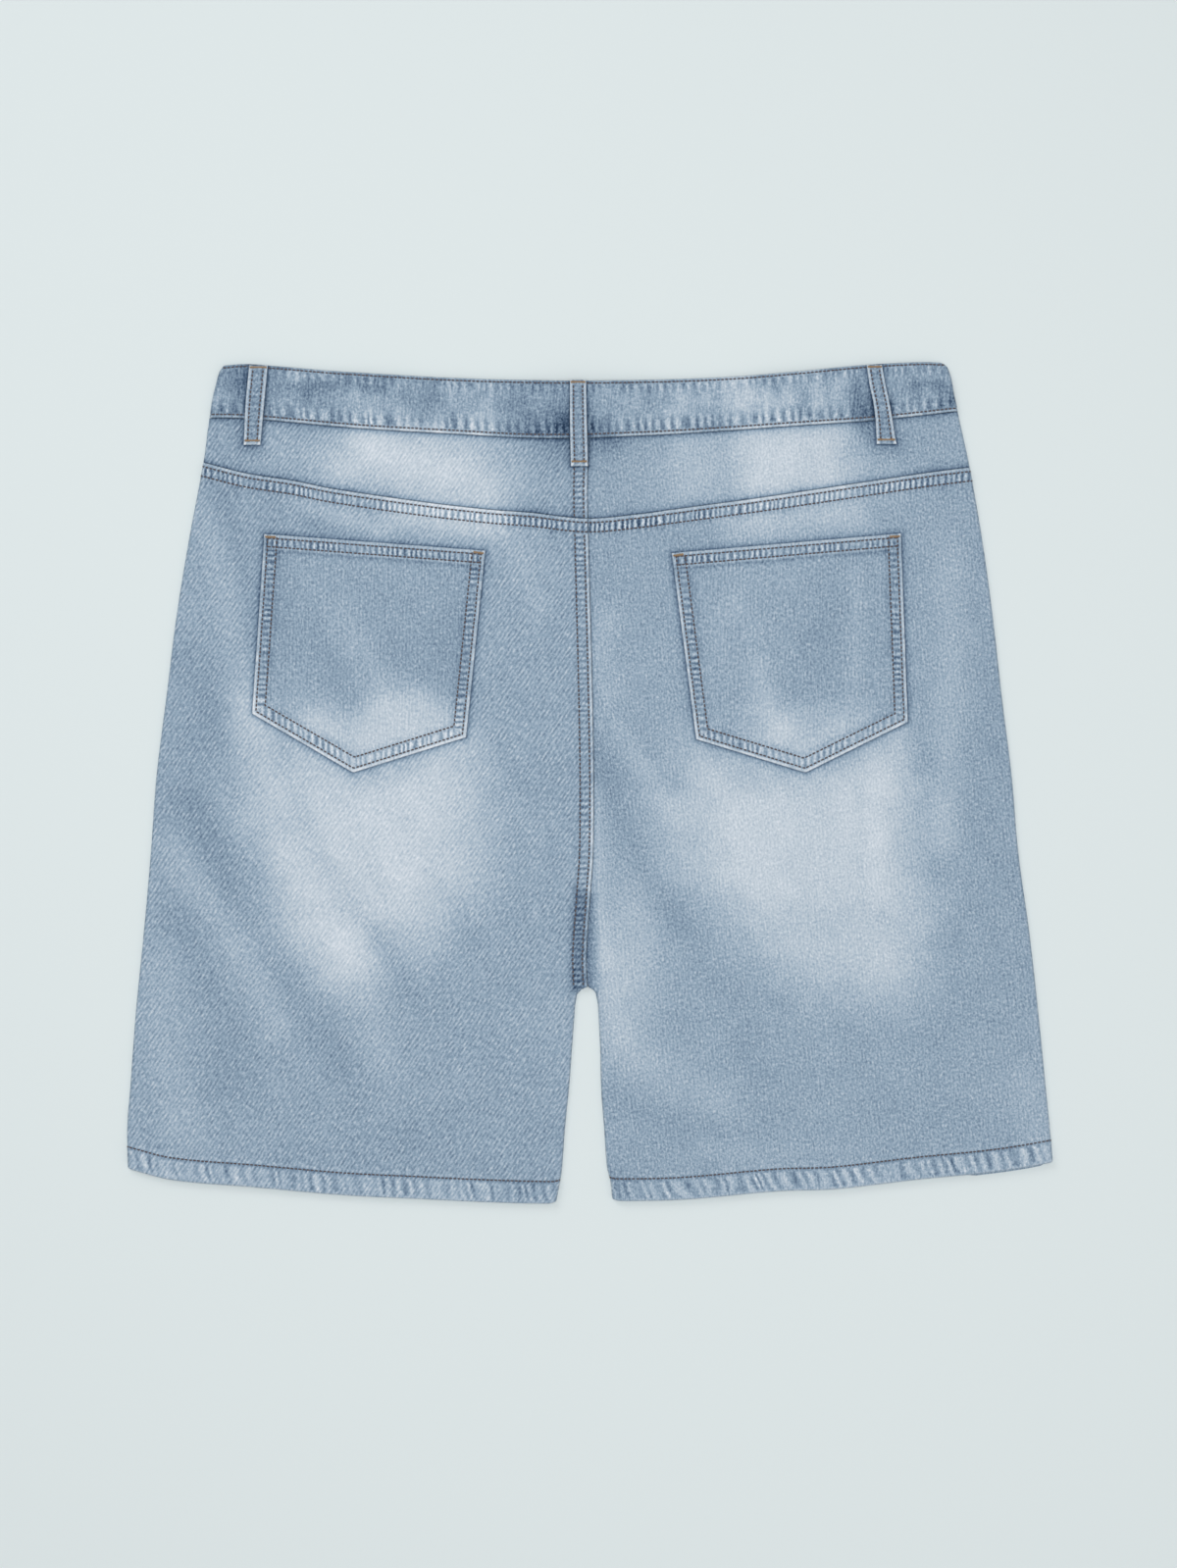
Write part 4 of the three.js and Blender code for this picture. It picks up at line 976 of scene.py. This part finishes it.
def back_panel(side):
    top_zone = zone((0, 2.1, 0.3), (2.1, 3.7, 0.4), (3.7, 8.8, 0.85), (8.8, 10.4, 0.4), (10.4, 15.0, 0.9))
    foot_zone = zone((0, 1.6, 0.4), (1.6, 14.4, 1.4), (14.4, 17.0, 0.4), (17.0, 22.0, 1.2))
    edges = panel_edges(side, yoke_seam_y, hem_y[side], inner_x(side))
    grid = Grid(edges, BACK_LINES, SIDE_ZONE, INNER_ZONE[side], top_zone, foot_zone)
    x, y = grid.x, grid.y
    seed, *pull = (41, 0.15, 36) if side == "left" else (57, 0.4, 44)
    strength = 0.85 + 0.6 * np.exp(-(((x + 42) / 26) ** 2)) + 0.6 * np.exp(-(((x - 44) / 44) ** 2))
    strength = strength + 0.25 * ramp(190, 240, np.abs(x))
    rise, level, rope, beat = felled(grid.top, x, YOKE_ROWS, YOKE_REACH, seed, strength)
    above_arch = ramp(ARCH_TOP - 1, ARCH_TOP + 1, grid.inner_at[1])
    if side == "left":
        strength = 0.45 + 0.5 * (1 - ramp(-130, -40, y)) + 0.3 * ramp(120, 170, y)
        seam_rise, seam_level, seam_rope, seam_beat = centre_seam(grid, strength)
        clear = ramp(10.0, 12.0, grid.top) * above_arch
        rise = rise * ramp(0.0, 1.0, grid.inner) + seam_rise * clear
        level = level + seam_level * clear
        rope = rope + seam_rope * clear
        beat = np.where((grid.inner < 17) & (grid.top > 11), seam_beat, beat)
    else:
        # Painted shade along the edge where the panel runs under the centre seam's lap.
        level = level - 30 * np.exp(-grid.inner / 1.1) * above_arch
    hem_rise, hem_level, hem_rope, hem_beat = hem_coat(x, grid.foot, seed + 50, *pull)
    coat = {
        "level": wash_and_shade(x, y) + level + hem_level,
        "rope": rope + hem_rope,
        "beat": np.where(grid.foot < 30, hem_beat, beat),
        "beside": pocket_near(side, x, y),
    }
    outer, inner = back_cloth(side, grid, rise + hem_rise, panel_thick, True)
    obj = shell(f"back_{side}", outer, inner, coat, TWILL[side], denim[side])
    for at in YOKE_ROWS:
        remember("seams", outer, nearest(grid.top[:, 60], at))
    remember("hems", outer, nearest(grid.foot[:, 60], HEM_ROW))
    if side == "left":
        rows = (grid.top[:, -1] > 10.5) & (grid.inner_at[1][:, -1] > ARCH_TOP + 1.2)
        centre_stitches(outer, grid, rows, 100)
    return obj


def yoke(side):
    edges = panel_edges(side, lambda x: waist_low_y(x) - GAP, lambda x: yoke_seam_y(x) + GAP, seam_x(side))
    seam_edge = zone((0, 2.4, 0.4))
    grid = Grid(edges, YOKE_LINES, SIDE_ZONE, INNER_ZONE[side], seam_edge, seam_edge)
    x, y = grid.x, grid.y
    coat, rise = {}, 0 * x
    if side == "left":
        rise, level, coat["rope"], coat["beat"] = centre_seam(grid, 0.7)
    else:
        # Painted shade along the edge under the centre seam's lap.
        level = -26 * np.exp(-grid.inner / 1.1)
    # Painted shade in spots just above the seam, where it draws the cloth into small dents.
    dent_shade = np.maximum(0, lattice(x / 3.2, 1.5, 19) + 0.2)
    coat["level"] = wash_and_shade(x, y) + level - 20 * dent_shade * np.exp(-grid.foot / 2.6)
    coat["beside"] = np.minimum(np.minimum(grid.top, grid.foot + 0.3), loop_near(x, y))
    outer, inner = back_cloth(side, grid, rise, lambda a, b: CLOTH + 0 * a, False)
    obj = shell(f"yoke_{side}", outer, inner, coat, TWILL[side], denim[side])
    if side == "left":
        centre_stitches(outer, grid, slice(None), 20)
    return obj


def front_panel(side):
    def foot_y(x):
        # The front's hem shows a little past the back's at the right.
        peep = 2.2 * ramp(262, 276, x) * (1 - ramp(320, 328, x)) if side == "right" else 0 * x
        return hem_y[side](x) - peep + FRONT_SHORT

    edge_zone = zone((0, 1.4, 0.35), (1.4, 6, 1.5))
    foot_zone = zone((0, 1.6, 0.4), (1.6, 14.4, 2.1), (14.4, 17.0, 0.5), (17, 21, 1.4))
    edges = panel_edges(side, lambda x: front_low_y(x) - GAP, foot_y, inner_x(side))
    grid = Grid(edges, FRONT_LINES, edge_zone, edge_zone, zone((0, 2, 0.5)), foot_zone)
    x, y = grid.x, grid.y
    leg = 1 - ramp(ARCH_TOP - 1, ARCH_TOP + 0.5, grid.inner_at[1])
    foot_rim = rounded(grid.foot, PANEL_ROUND)
    rim = np.maximum(rounded(grid.side, PANEL_ROUND), rounded(grid.inner, PANEL_ROUND) * leg)
    rim = np.maximum(rim, foot_rim)
    rise, level, rope, beat = hem_coat(x, grid.foot, 113)
    from_edge = np.minimum(grid.side, np.minimum(grid.foot, grid.inner))
    dent = front_creases(x, y) * ramp(0, 14, from_edge)
    # Painted shade in the creases, over the back's pattern laid again, shifted.
    level = level + wash_and_shade(x * 0.92 + 10 * OUTWARD[side], y * 0.95 - 20) - 14 * dent
    # A pale line along the side edge, and painted shade along the centre seam.
    level = level + 20 * bump_at(grid.side, 0.6, 0.8) - 26 * np.exp(-grid.inner / 1.1) * (1 - leg)
    beside = np.minimum(np.minimum(grid.top, front_loop_near(x, y)), FAR)
    low = lift(x, y) + 0.6 * rim + 0.35 * bump_at(grid.inner, 0.0, 1.0) * (1 - leg)
    low = low + np.maximum(0, 0.3 - rise * 0.6) * ramp(22, 16, grid.foot)
    floor = (x, y, low + dent)
    top = (x, y, front_top(x, y) - 0.6 * foot_rim + 0.8 * dent)
    coat = {"level": level, "rope": rope, "beat": beat, "beside": beside}
    obj = shell(f"front_{side}", floor, top, coat, -TWILL[side], denim[side])
    remember("hems", floor, nearest(grid.foot[:, 30], HEM_ROW), up=-1.0)
    return obj


def pocket(side):
    p = POCKETS[side]

    def line(a, b):
        return lambda t: (mix(a[0], b[0], t), mix(a[1], b[1], t))

    def bottom(f):
        f = np.asarray(f, float)
        first, second = line(p["out"], p["tip"])(2 * f), line(p["tip"], p["low"])(2 * f - 1)
        return np.where(f < 0.5, first[0], second[0]), np.where(f < 0.5, first[1], second[1])

    edges = {"top": line(p["side"], p["seat"]), "bottom": bottom, "side": line(p["side"], p["out"]),
             "inner": line(p["seat"], p["low"])}
    near = zone((0, 2.0, 0.33), (2.0, 3.6, 0.4), (3.6, 8.4, 0.96), (8.4, 10.4, 0.4), (10.4, 12.4, 0.67))
    grid = Grid(edges, POCKET_LINES, near, near, near, near)
    x, y, top = grid.x, grid.y, grid.top
    # Distances square to the edges: the two lower edges slope.
    lean_out, lean_in = (
        math.cos(math.atan2(p[end][1] - p["tip"][1], abs(p["tip"][0] - p[end][0]))) for end in ("out", "low")
    )
    foot = grid.foot * np.where(grid.f < 0.5, lean_out, lean_in)
    sides = np.minimum(grid.side, grid.inner)
    rim = np.minimum(sides, foot)
    seed = 131 if side == "left" else 139
    first, second = POCKET_ROWS
    in_hem = 1 - ramp(10.0, 11.4, top)
    along = np.where(foot <= rim + 1e-6, x, y)
    beat = np.where(top < 10.5, rope_beat(x, MOUTH_PITCH, seed + 5), rope_beat(along, POCKET_PITCH, seed))
    size = rope_size(np.where(top < 10.5, x, along), seed)
    waves = rope_wave(beat) * size
    band_rim = ramp(first + 0.3, first + 1.3, rim) * (1 - ramp(second - 1.2, second, rim)) * (1 - in_hem)
    band_top = ramp(3.0, 4.0, top) * (1 - ramp(7.4, 8.8, top)) * ramp(0.5, 2.5, rim)
    rows_rim = bump_at(rim, first, 0.45) + bump_at(rim, second, 0.45) * (1 - in_hem)
    rows_top = both_rows(top, MOUTH_ROWS, 0.45) * ramp(0.5, 2.0, rim)
    rise = 0.5 * in_hem + waves * (0.28 * band_rim + 0.34 * band_top) - 0.4 * (rows_rim + rows_top)
    roll = 0.75 * rounded(np.minimum(rim, top), EDGE_ROUND)
    level = wash_and_shade(x, y) - 8 * band_rim * (1 - 0.8 * ramp(70, 40, y)) + band_top
    # Painted shade in the grooves of the rows of stitches.
    level = level - 16 * rows_rim - 18 * rows_top
    level = level + worn_rim(along, seed) * (36 * bump_at(rim, 0.8, 0.75) + 22 * bump_at(top, 0.9, 0.8))
    # A lighter line on the hem's step, and painted shadow below it.
    level = level + 12 * bump_at(top, 10.0, 0.6) - 24 * bump_at(top, 11.8, 1.0) * ramp(6, 10, rim)
    # Painted shade in dents along the seams inside the pocket, and in its top corners.
    dent_shade = 0.7 + 0.6 * lattice(along / 14, 0, seed + 3)
    level = level - 13 * bump_at(rim, 11.6, 1.6) * dent_shade * (1 - in_hem)
    level = level - 26 * np.exp(-(((sides + np.abs(top - 10)) / 10) ** 2))
    coat = {"level": level, "rope": size * (42 * band_rim + 56 * band_top), "beat": beat}
    z = back_outer(x, y) + GAP
    outer = (x, y, z + CLOTH + rise - roll)
    obj = shell(f"pocket_{side}", outer, (x, y, z), coat, POCKET_TWILL, denim["sewn_on"])
    start = nearest(top[:, 30], 1.2)
    for at in POCKET_ROWS:
        c, r = nearest(grid.side[60], at), nearest(grid.foot[:, 30] * lean_out, at)
        last = x.shape[1] - 1 - c
        remember("pockets", outer, (slice(start, r), c), (r, slice(c, last)), (slice(r, start, -1), last))
    for at in MOUTH_ROWS:
        c = nearest(grid.side[60], first)
        remember("pockets", outer, (nearest(top[:, 40], at), slice(c, -c)))
    return obj


def waistband():
    """One strip: lapped end, front, fold, back, fold, front, other end."""
    fold = np.radians([-67.5, -45, -22.5, 0, 22.5, 45, 67.5])
    stages = (
        (np.linspace(0, 1, BAND_FRONT), -math.pi / 2), (0.0 * fold, fold),
        (np.linspace(0, 1, BAND_BACK), math.pi / 2), (0.0 * fold, fold[::-1]),
        (np.linspace(1, 0, BAND_FRONT), -math.pi / 2),
    )
    share = np.concatenate([s for s, _ in stages])
    part = np.concatenate([np.full(len(s), k) for k, (s, _) in enumerate(stages)])
    angle = np.concatenate([angle + 0 * s for s, angle in stages])
    up_zone = zone((0, 1.2, 0.3), (1.2, 2.4, 0.4), (2.4, 4.2, 0.3), (4.2, 34, 1.5), (34, 36.5, 0.5),
                   (36.5, 38.8, 0.28), (38.8, BAND_TALL, 0.3))
    h, s = np.meshgrid(np.append(up_zone, BAND_TALL) / BAND_TALL, share, indexing="ij")
    p, a = np.broadcast_arrays(part, h)[0], np.broadcast_arrays(angle, h)[0]
    front = (p == 0) | (p == 4)
    y = np.full(h.shape, 270.0)
    for _ in range(7):
        left, right = side_x["left"](y) + BAND_RADIUS, side_x["right"](y) - BAND_RADIUS
        x = np.select(
            [p == 0, p == 1, p == 2, p == 3, p == 4],
            [mix(LAP_HALF, left, s), left, mix(left, right, s), right, mix(-LAP_HALF, right, s)],
        )
        low = np.where(front, front_low_y(x), waist_low_y(x))
        top = np.where(front, front_top_y(x), waist_top_y(x))
        y = mix(low, top, h)
    tall = top - low
    e_low, e_top = h * tall, (1 - h) * tall
    flat = LAP_HALF + LAP_FLAT
    over = np.where(p == 4, 1 - ramp(flat, flat + LAP_SLOPE, x), 0.0)
    along = np.where(front, -x + 700, x)
    low_beat = rope_beat(along + 0.08 * e_low, BAND_LOW_PITCH, 151)
    top_beat = rope_beat(along - 0.08 * e_top, BAND_TOP_PITCH, 157)
    size = rope_size(along, 151)
    in_low, in_top = band_reach(e_low, 2.8, 16), band_reach(e_top, 2.4, 12)
    slow = cloudy(along, y * 0.3, 7, 163, 2)
    crumple = cloudy(along * 0.5 + y * 0.5, y - 0.3 * along, 13, 167)
    relief = size * (0.36 * rope_wave(low_beat) * in_low + 0.28 * rope_wave(top_beat) * in_top)
    relief = relief + (0.22 * slow + 0.4 * crumple) * ramp(0, 6, e_low) * ramp(0, 6, e_top)
    relief = relief - 0.45 * (bump_at(e_low, BAND_ROWS[0], 0.5) + bump_at(e_top, BAND_ROWS[1], 0.45))
    ease = 0.9 * rounded(np.minimum(e_low, e_top), PANEL_ROUND)
    flat_z = np.where(front, lift(x, y) + (DOUBLE + GAP) * over, band_outer(x, y))

    def face(depth, push):
        r = BAND_RADIUS - depth + push
        fold_x = x + np.where(p <= 1, -1.0, 1.0) * r * np.cos(a)
        fold_z = np.maximum(BAND_RADIUS + r * np.sin(a), 0.0)
        z = flat_z + np.where(front, 1.0, -1.0) * (depth - push)
        in_fold = (p == 1) | (p == 3)
        return np.where(in_fold, fold_x, x), y, np.where(in_fold, fold_z, z)

    outer = face(ease, np.where(front, np.minimum(relief, 0) * 0.6, relief))
    inner = face(DOUBLE - ease * 0.6, 0.0)
    # The level follows the band's slow waves and crumples, lighter where they rise: blotches of wash, with
    # painted light and shade on the crumples.
    level = wash_and_shade(np.where(front, 0.9 * x, x), y) - 9 + 19 * slow + 28 * crumple - 3 * in_low
    uneven = 0.7 + 0.6 * lattice(along / 6.0, 2.5, 173)
    level = level + 30 * uneven * bump_at(e_low, 0.7, 0.7) + 8 * bump_at(e_top, 0.5, 0.8)
    # Painted shade in the grooves of the rows of stitches.
    level = level - 19 * (bump_at(e_low, BAND_ROWS[0], 0.65) + bump_at(e_top, BAND_ROWS[1], 0.6))
    lower = e_low < 0.52 * tall
    coat = {
        "level": level,
        "rope": size * np.where(lower, 44 * in_low, 29 * in_top),
        "beat": np.where(lower, low_beat, top_beat),
        "beside": np.where(front, front_loop_near(x, y), loop_near(x, y)),
    }
    obj = shell("waistband", outer, inner, coat, BAND_TWILL, denim["sewn_on"])
    back_end = BAND_FRONT + BAND_BACK
    for e, distance in zip(BAND_ROWS, (e_low, e_top)):
        r = nearest(distance[:, BAND_FRONT + len(fold) + BAND_BACK // 2], e)
        remember("waistband", outer, (r, slice(BAND_FRONT + 5, back_end + 9)))
        for where in (slice(2, BAND_FRONT), slice(back_end + 14, -2)):
            remember("waistband", outer, (r, where), up=-1.0)
    return obj


def loop_strip(name, x0, x1, y, z_out, z_in, up, seed):
    """A belt loop from its edges row by row; z_out faces away from the body of the shorts."""
    e = np.array([0, 0.25, 0.6, 1.1, 1.7, 2.3, 2.7, 3.2, 4.4, LOOP_WIDE / 2])
    share = np.concatenate([e / LOOP_WIDE, 1 - e[-2::-1] / LOOP_WIDE])
    f, yy = np.broadcast_arrays(share, y[:, None])
    x = mix(x0[:, None], x1[:, None], f)
    edge = np.minimum(f, 1 - f) * LOOP_WIDE
    ends = np.minimum(np.abs(yy - y[0]), np.abs(yy - y[-1]))
    beat = rope_beat(yy, LOOP_PITCH, seed)
    roll = 0.55 * rounded(np.minimum(edge, ends), LOOP_ROUND)
    rows = bump_at(edge, 2.6, 0.45)
    relief = 0.25 * bump_at(edge, 6.0, 2.2) - 0.34 * rows + 0.1 * rope_wave(beat) * bump_at(edge, 4.5, 2)
    if up < 0:
        relief = np.minimum(relief, 0.0)
    level = LOOP_LEVEL + 10 * cloudy(x, yy * 0.6, 5, seed)
    # Pale edges, painted shade in the grooves of the rows of stitches, and a darker middle.
    level = level + 38 * bump_at(edge, 0.8, 0.75) - 20 * rows - 7 * bump_at(edge, 4.4, 1.2)
    level = level + 28 * bump_at(np.abs(yy - y[-1]), 0.7, 0.9)
    outer = (x, yy, z_out[:, None] + up * (relief - roll))
    coat = {"level": level, "rope": 11 * bump_at(edge, 4.6, 2.0), "beat": beat}
    obj = shell(name, outer, (x, yy, z_in[:, None] + 0 * x), coat, LOOP_TWILL, denim["right"])
    for c in (6, len(share) - 7):
        remember("loops", outer, ((y < y[0] - 2.5) & (y > y[-1] + 2.5), c), up=up)
    for place in (y[0] - 1.4, y[-1] + 3.0):
        r = nearest(y, place)
        bar = [(outer[0][r, c], outer[1][r, c], outer[2][r, near]) for c, near in ((2, 4), (-3, -5))]
        tacks.append((*bar, up))
    return obj


def back_loop(name):
    rows = LOOPS[name]
    top, low = rows[0][0], rows[-1][0]
    end = END_ZONE / (top - low)
    s = np.concatenate([end, np.linspace(0.055, 0.945, 64), 1 - end[::-1]])
    y = mix(top, low, s)
    x0, x1 = curve(rows, 1)(y), curve(rows, 2)(y)
    felled_rise = BAND_RISE if abs(x0[-1]) < 20 else 0.0
    band, back = (
        np.max([of(mix(x0, x1, f), y) for f in (0, 0.5, 1)], axis=0) for of in (band_outer, back_outer)
    )
    stand = np.sin(math.pi * ramp(0.06, 0.94, s)) ** 0.8 * LOOP_BULGE
    z = mix(band, back + felled_rise, ramp(0.6, 0.92, s)) + GAP + stand
    return loop_strip(name, x0, x1, y, z + CLOTH, z, 1.0, 171 + len(name))


def front_loop(name):
    at = FRONT_LOOPS[name]
    top, low = float(front_top_y(at)), float(front_low_y(at)) - FRONT_LOOP_BELOW
    y = np.concatenate([top - END_ZONE, np.linspace(top - 3.2, low + 3.2, 40), low + END_ZONE[::-1]])
    x0, x1, z_out, z_in = (v + 0 * y for v in (at - FRONT_LOOP_HALF, at + FRONT_LOOP_HALF, 0.02, CLOTH))
    return loop_strip(name, x0, x1, y, z_out, z_in, -1.0, 191 + len(name))


def button():
    """The waist button's head, dished and ringed on the side that shows."""
    profile = [(3.6, 0.7), (4.2, 0.4), (4.8, 0.62), (5.6, 0.3), (6.4, 0.04), (7.2, 0.0), (8.0, 0.22),
               (8.4, 0.7), (BUTTON_R, 1.1), (8.1, 1.9), (7.0, BUTTON_H)]
    around = 64
    angles = np.linspace(0, 2 * math.pi, around, endpoint=False)
    points = [(BUTTON_X + r * math.cos(t), BUTTON_Y + r * math.sin(t), z) for r, z in profile for t in angles]
    faces = []
    for i in range(0, len(points) - around, around):
        for k in range(around):
            n = (k + 1) % around
            faces.append((i + k, i + around + k, i + around + n, i + n))
    middle, rim = len(points), len(points) - around
    points += [(BUTTON_X, BUTTON_Y, BUTTON_DISH), (BUTTON_X, BUTTON_Y, BUTTON_H)]
    for k in range(around):
        n = (k + 1) % around
        faces += [(middle, k, n), (middle + 1, rim + n, rim + k)]
    settle(mesh_object("button_metal", points, faces, brass), "button")


def capsules(name, bars, half, material, arch=0.5):
    """Short threads, each a rounded bar that dips at its ends: middles, directions, ups and lengths."""
    middles, directions, ups, lengths = bars
    angles = np.linspace(0, 2 * math.pi, CAPSULE_SIDES, endpoint=False)
    template = np.array([(t, w * math.cos(a), w * math.sin(a)) for t, w in CAPSULE_RINGS for a in angles])
    sideways = np.cross(ups, directions)
    sideways /= np.linalg.norm(sideways, axis=1, keepdims=True)
    upward = np.cross(directions, sideways)
    t, u, v = (template[None, :, k, None] for k in range(3))
    points = middles[:, None, :] + directions[:, None, :] * (t * lengths[:, None, None] / 2)
    points = points + sideways[:, None, :] * (u * half)
    points = points + upward[:, None, :] * ((v * 0.8 - arch * t**2) * half)
    rings, k = len(CAPSULE_RINGS), CAPSULE_SIDES
    last = (rings - 1) * k
    one = [(i + k + j, i + k + (j + 1) % k, i + (j + 1) % k, i + j)
           for i in range(0, last, k) for j in range(k)]
    starts = np.arange(len(middles)) * rings * k
    faces = (np.array(one)[None] + starts[:, None, None]).reshape(-1, 4).tolist()
    for start in starts.tolist():
        faces.append(list(range(start, start + k)))
        faces.append(list(range(start + last + k - 1, start + last - 1, -1)))
    settle(mesh_object(name, points.reshape(-1, 3), faces, material), None)


def stitches():
    rng = np.random.default_rng(7)
    for kind, lines in stitch_lines.items():
        bars = []
        for line, up in lines:
            at = np.concatenate([[0], np.cumsum(np.linalg.norm(np.diff(line, axis=0), axis=1))])
            count = max(1, int(at[-1] / STITCH_PITCH))
            where = (np.arange(count) + 0.5) * at[-1] / count + rng.uniform(-0.18, 0.18, count)
            start, middle, end = (
                np.stack([np.interp(where + shift, at, line[:, k]) for k in range(3)], axis=1)
                for shift in (-STITCH_LENGTH / 2, 0, STITCH_LENGTH / 2)
            )
            middle[:, 2] += up * (STITCH_STAND + rng.uniform(-0.04, 0.04, count))
            middle[:, 2] = np.maximum(middle[:, 2], STITCH_HALF)
            long = np.linalg.norm(end - start, axis=1, keepdims=True)
            lengths = STITCH_LENGTH * rng.uniform(0.92, 1.05, count)
            direction = (end - start) / np.maximum(long, 1e-6)
            bars.append((middle, direction, np.tile([0, 0, up], (count, 1)), lengths))
        capsules(f"stitches_{kind}", [np.concatenate(v) for v in zip(*bars)], STITCH_HALF, thread)


def bar_tacks():
    """Dense short threads across a bar, from one point to another."""
    rng = np.random.default_rng(11)
    bars = []
    for a, b, up in tacks:
        a, b = np.array(a), np.array(b)
        size = np.linalg.norm(b - a)
        along = (b - a) / size
        across = np.cross([0, 0, 1.0], along)
        count = int(size / TACK_PITCH)
        for k in range(count):
            middle = mix(a, b, (k + 0.5) / count)
            middle[2] = max(middle[2] + up * (TACK_STAND + rng.uniform(-0.03, 0.03)), STITCH_HALF)
            tilt = across + along * (TACK_TILT if k % 2 else -TACK_TILT)
            length = TACK_LENGTH + rng.uniform(-0.4, 0.3)
            bars.append((middle, tilt / np.linalg.norm(tilt), np.array([0, 0, up]), length))
    capsules("bar_tacks", [np.array(v) for v in zip(*bars)], TACK_HALF, ochre, 0.7)


def pocket_tacks():
    """Bars at both ends of each pocket's mouth."""
    for p in POCKETS.values():
        for a, b in ((p["side"], p["seat"]), (p["seat"], p["side"])):
            a, b = np.array(a), np.array(b)
            along = (b - a) / np.linalg.norm(b - a)
            down = np.array([along[1], -along[0]]) * (1 if along[0] > 0 else -1)
            places = (a + along * 1.0 + down * 2.0, a + along * 8.4 + down * 1.6)
            ends = [(*q, back_outer(*q).item() + GAP + CLOTH + 0.35) for q in places]
            tacks.append((*ends, 1.0))


def floor_and_light():
    ground = bpy.data.meshes.new("floor")
    r = FLOOR_REACH
    ground.from_pydata([(-r, -r, 0), (r, -r, 0), (r, r, 0), (-r, r, 0)], [], [(0, 1, 2, 3)])
    floor = add_object("floor", ground)
    floor.location.z = -FLOOR_DROP
    ground.materials.append(plain_material("floor_paper", Base_Color=linear(FLOOR_COLOUR), Roughness=0.9))
    world = bpy.context.scene.world or bpy.data.worlds.new("studio")
    bpy.context.scene.world = world
    world.use_nodes = True
    sky = world.node_tree.nodes["Background"]
    sky.inputs["Color"].default_value = (1.0, 1.0, 1.0, 1.0)
    sky.inputs["Strength"].default_value = SKY_POWER
    for name, place, size, power in LIGHTS:
        light = bpy.data.lights.new(name, "AREA")
        light.size = size
        light.energy = power
        lamp = add_object(name, light)
        lamp.location = place
        lamp.rotation_euler = Vector([-v for v in place]).to_track_quat("-Z", "Y").to_euler()


def camera():
    data = bpy.data.cameras.new("camera")
    data.lens = LENS
    data.sensor_width = SENSOR
    cam = add_object("camera", data)
    cam.location = (VIEW_MIDDLE[0] - ORIGIN[0] / 1000, VIEW_MIDDLE[1] - ORIGIN[1] / 1000, CAMERA_HEIGHT)
    bpy.context.scene.camera = cam


for which in ("left", "right"):
    front_panel(which)
    back_panel(which)
    yoke(which)
    pocket(which)
waistband()
for loop_name in LOOPS:
    back_loop(loop_name)
for loop_name in FRONT_LOOPS:
    front_loop(loop_name)
button()
pocket_tacks()
stitches()
bar_tacks()

floor_and_light()
camera()
bpy.context.scene.view_settings.view_transform = "Standard"
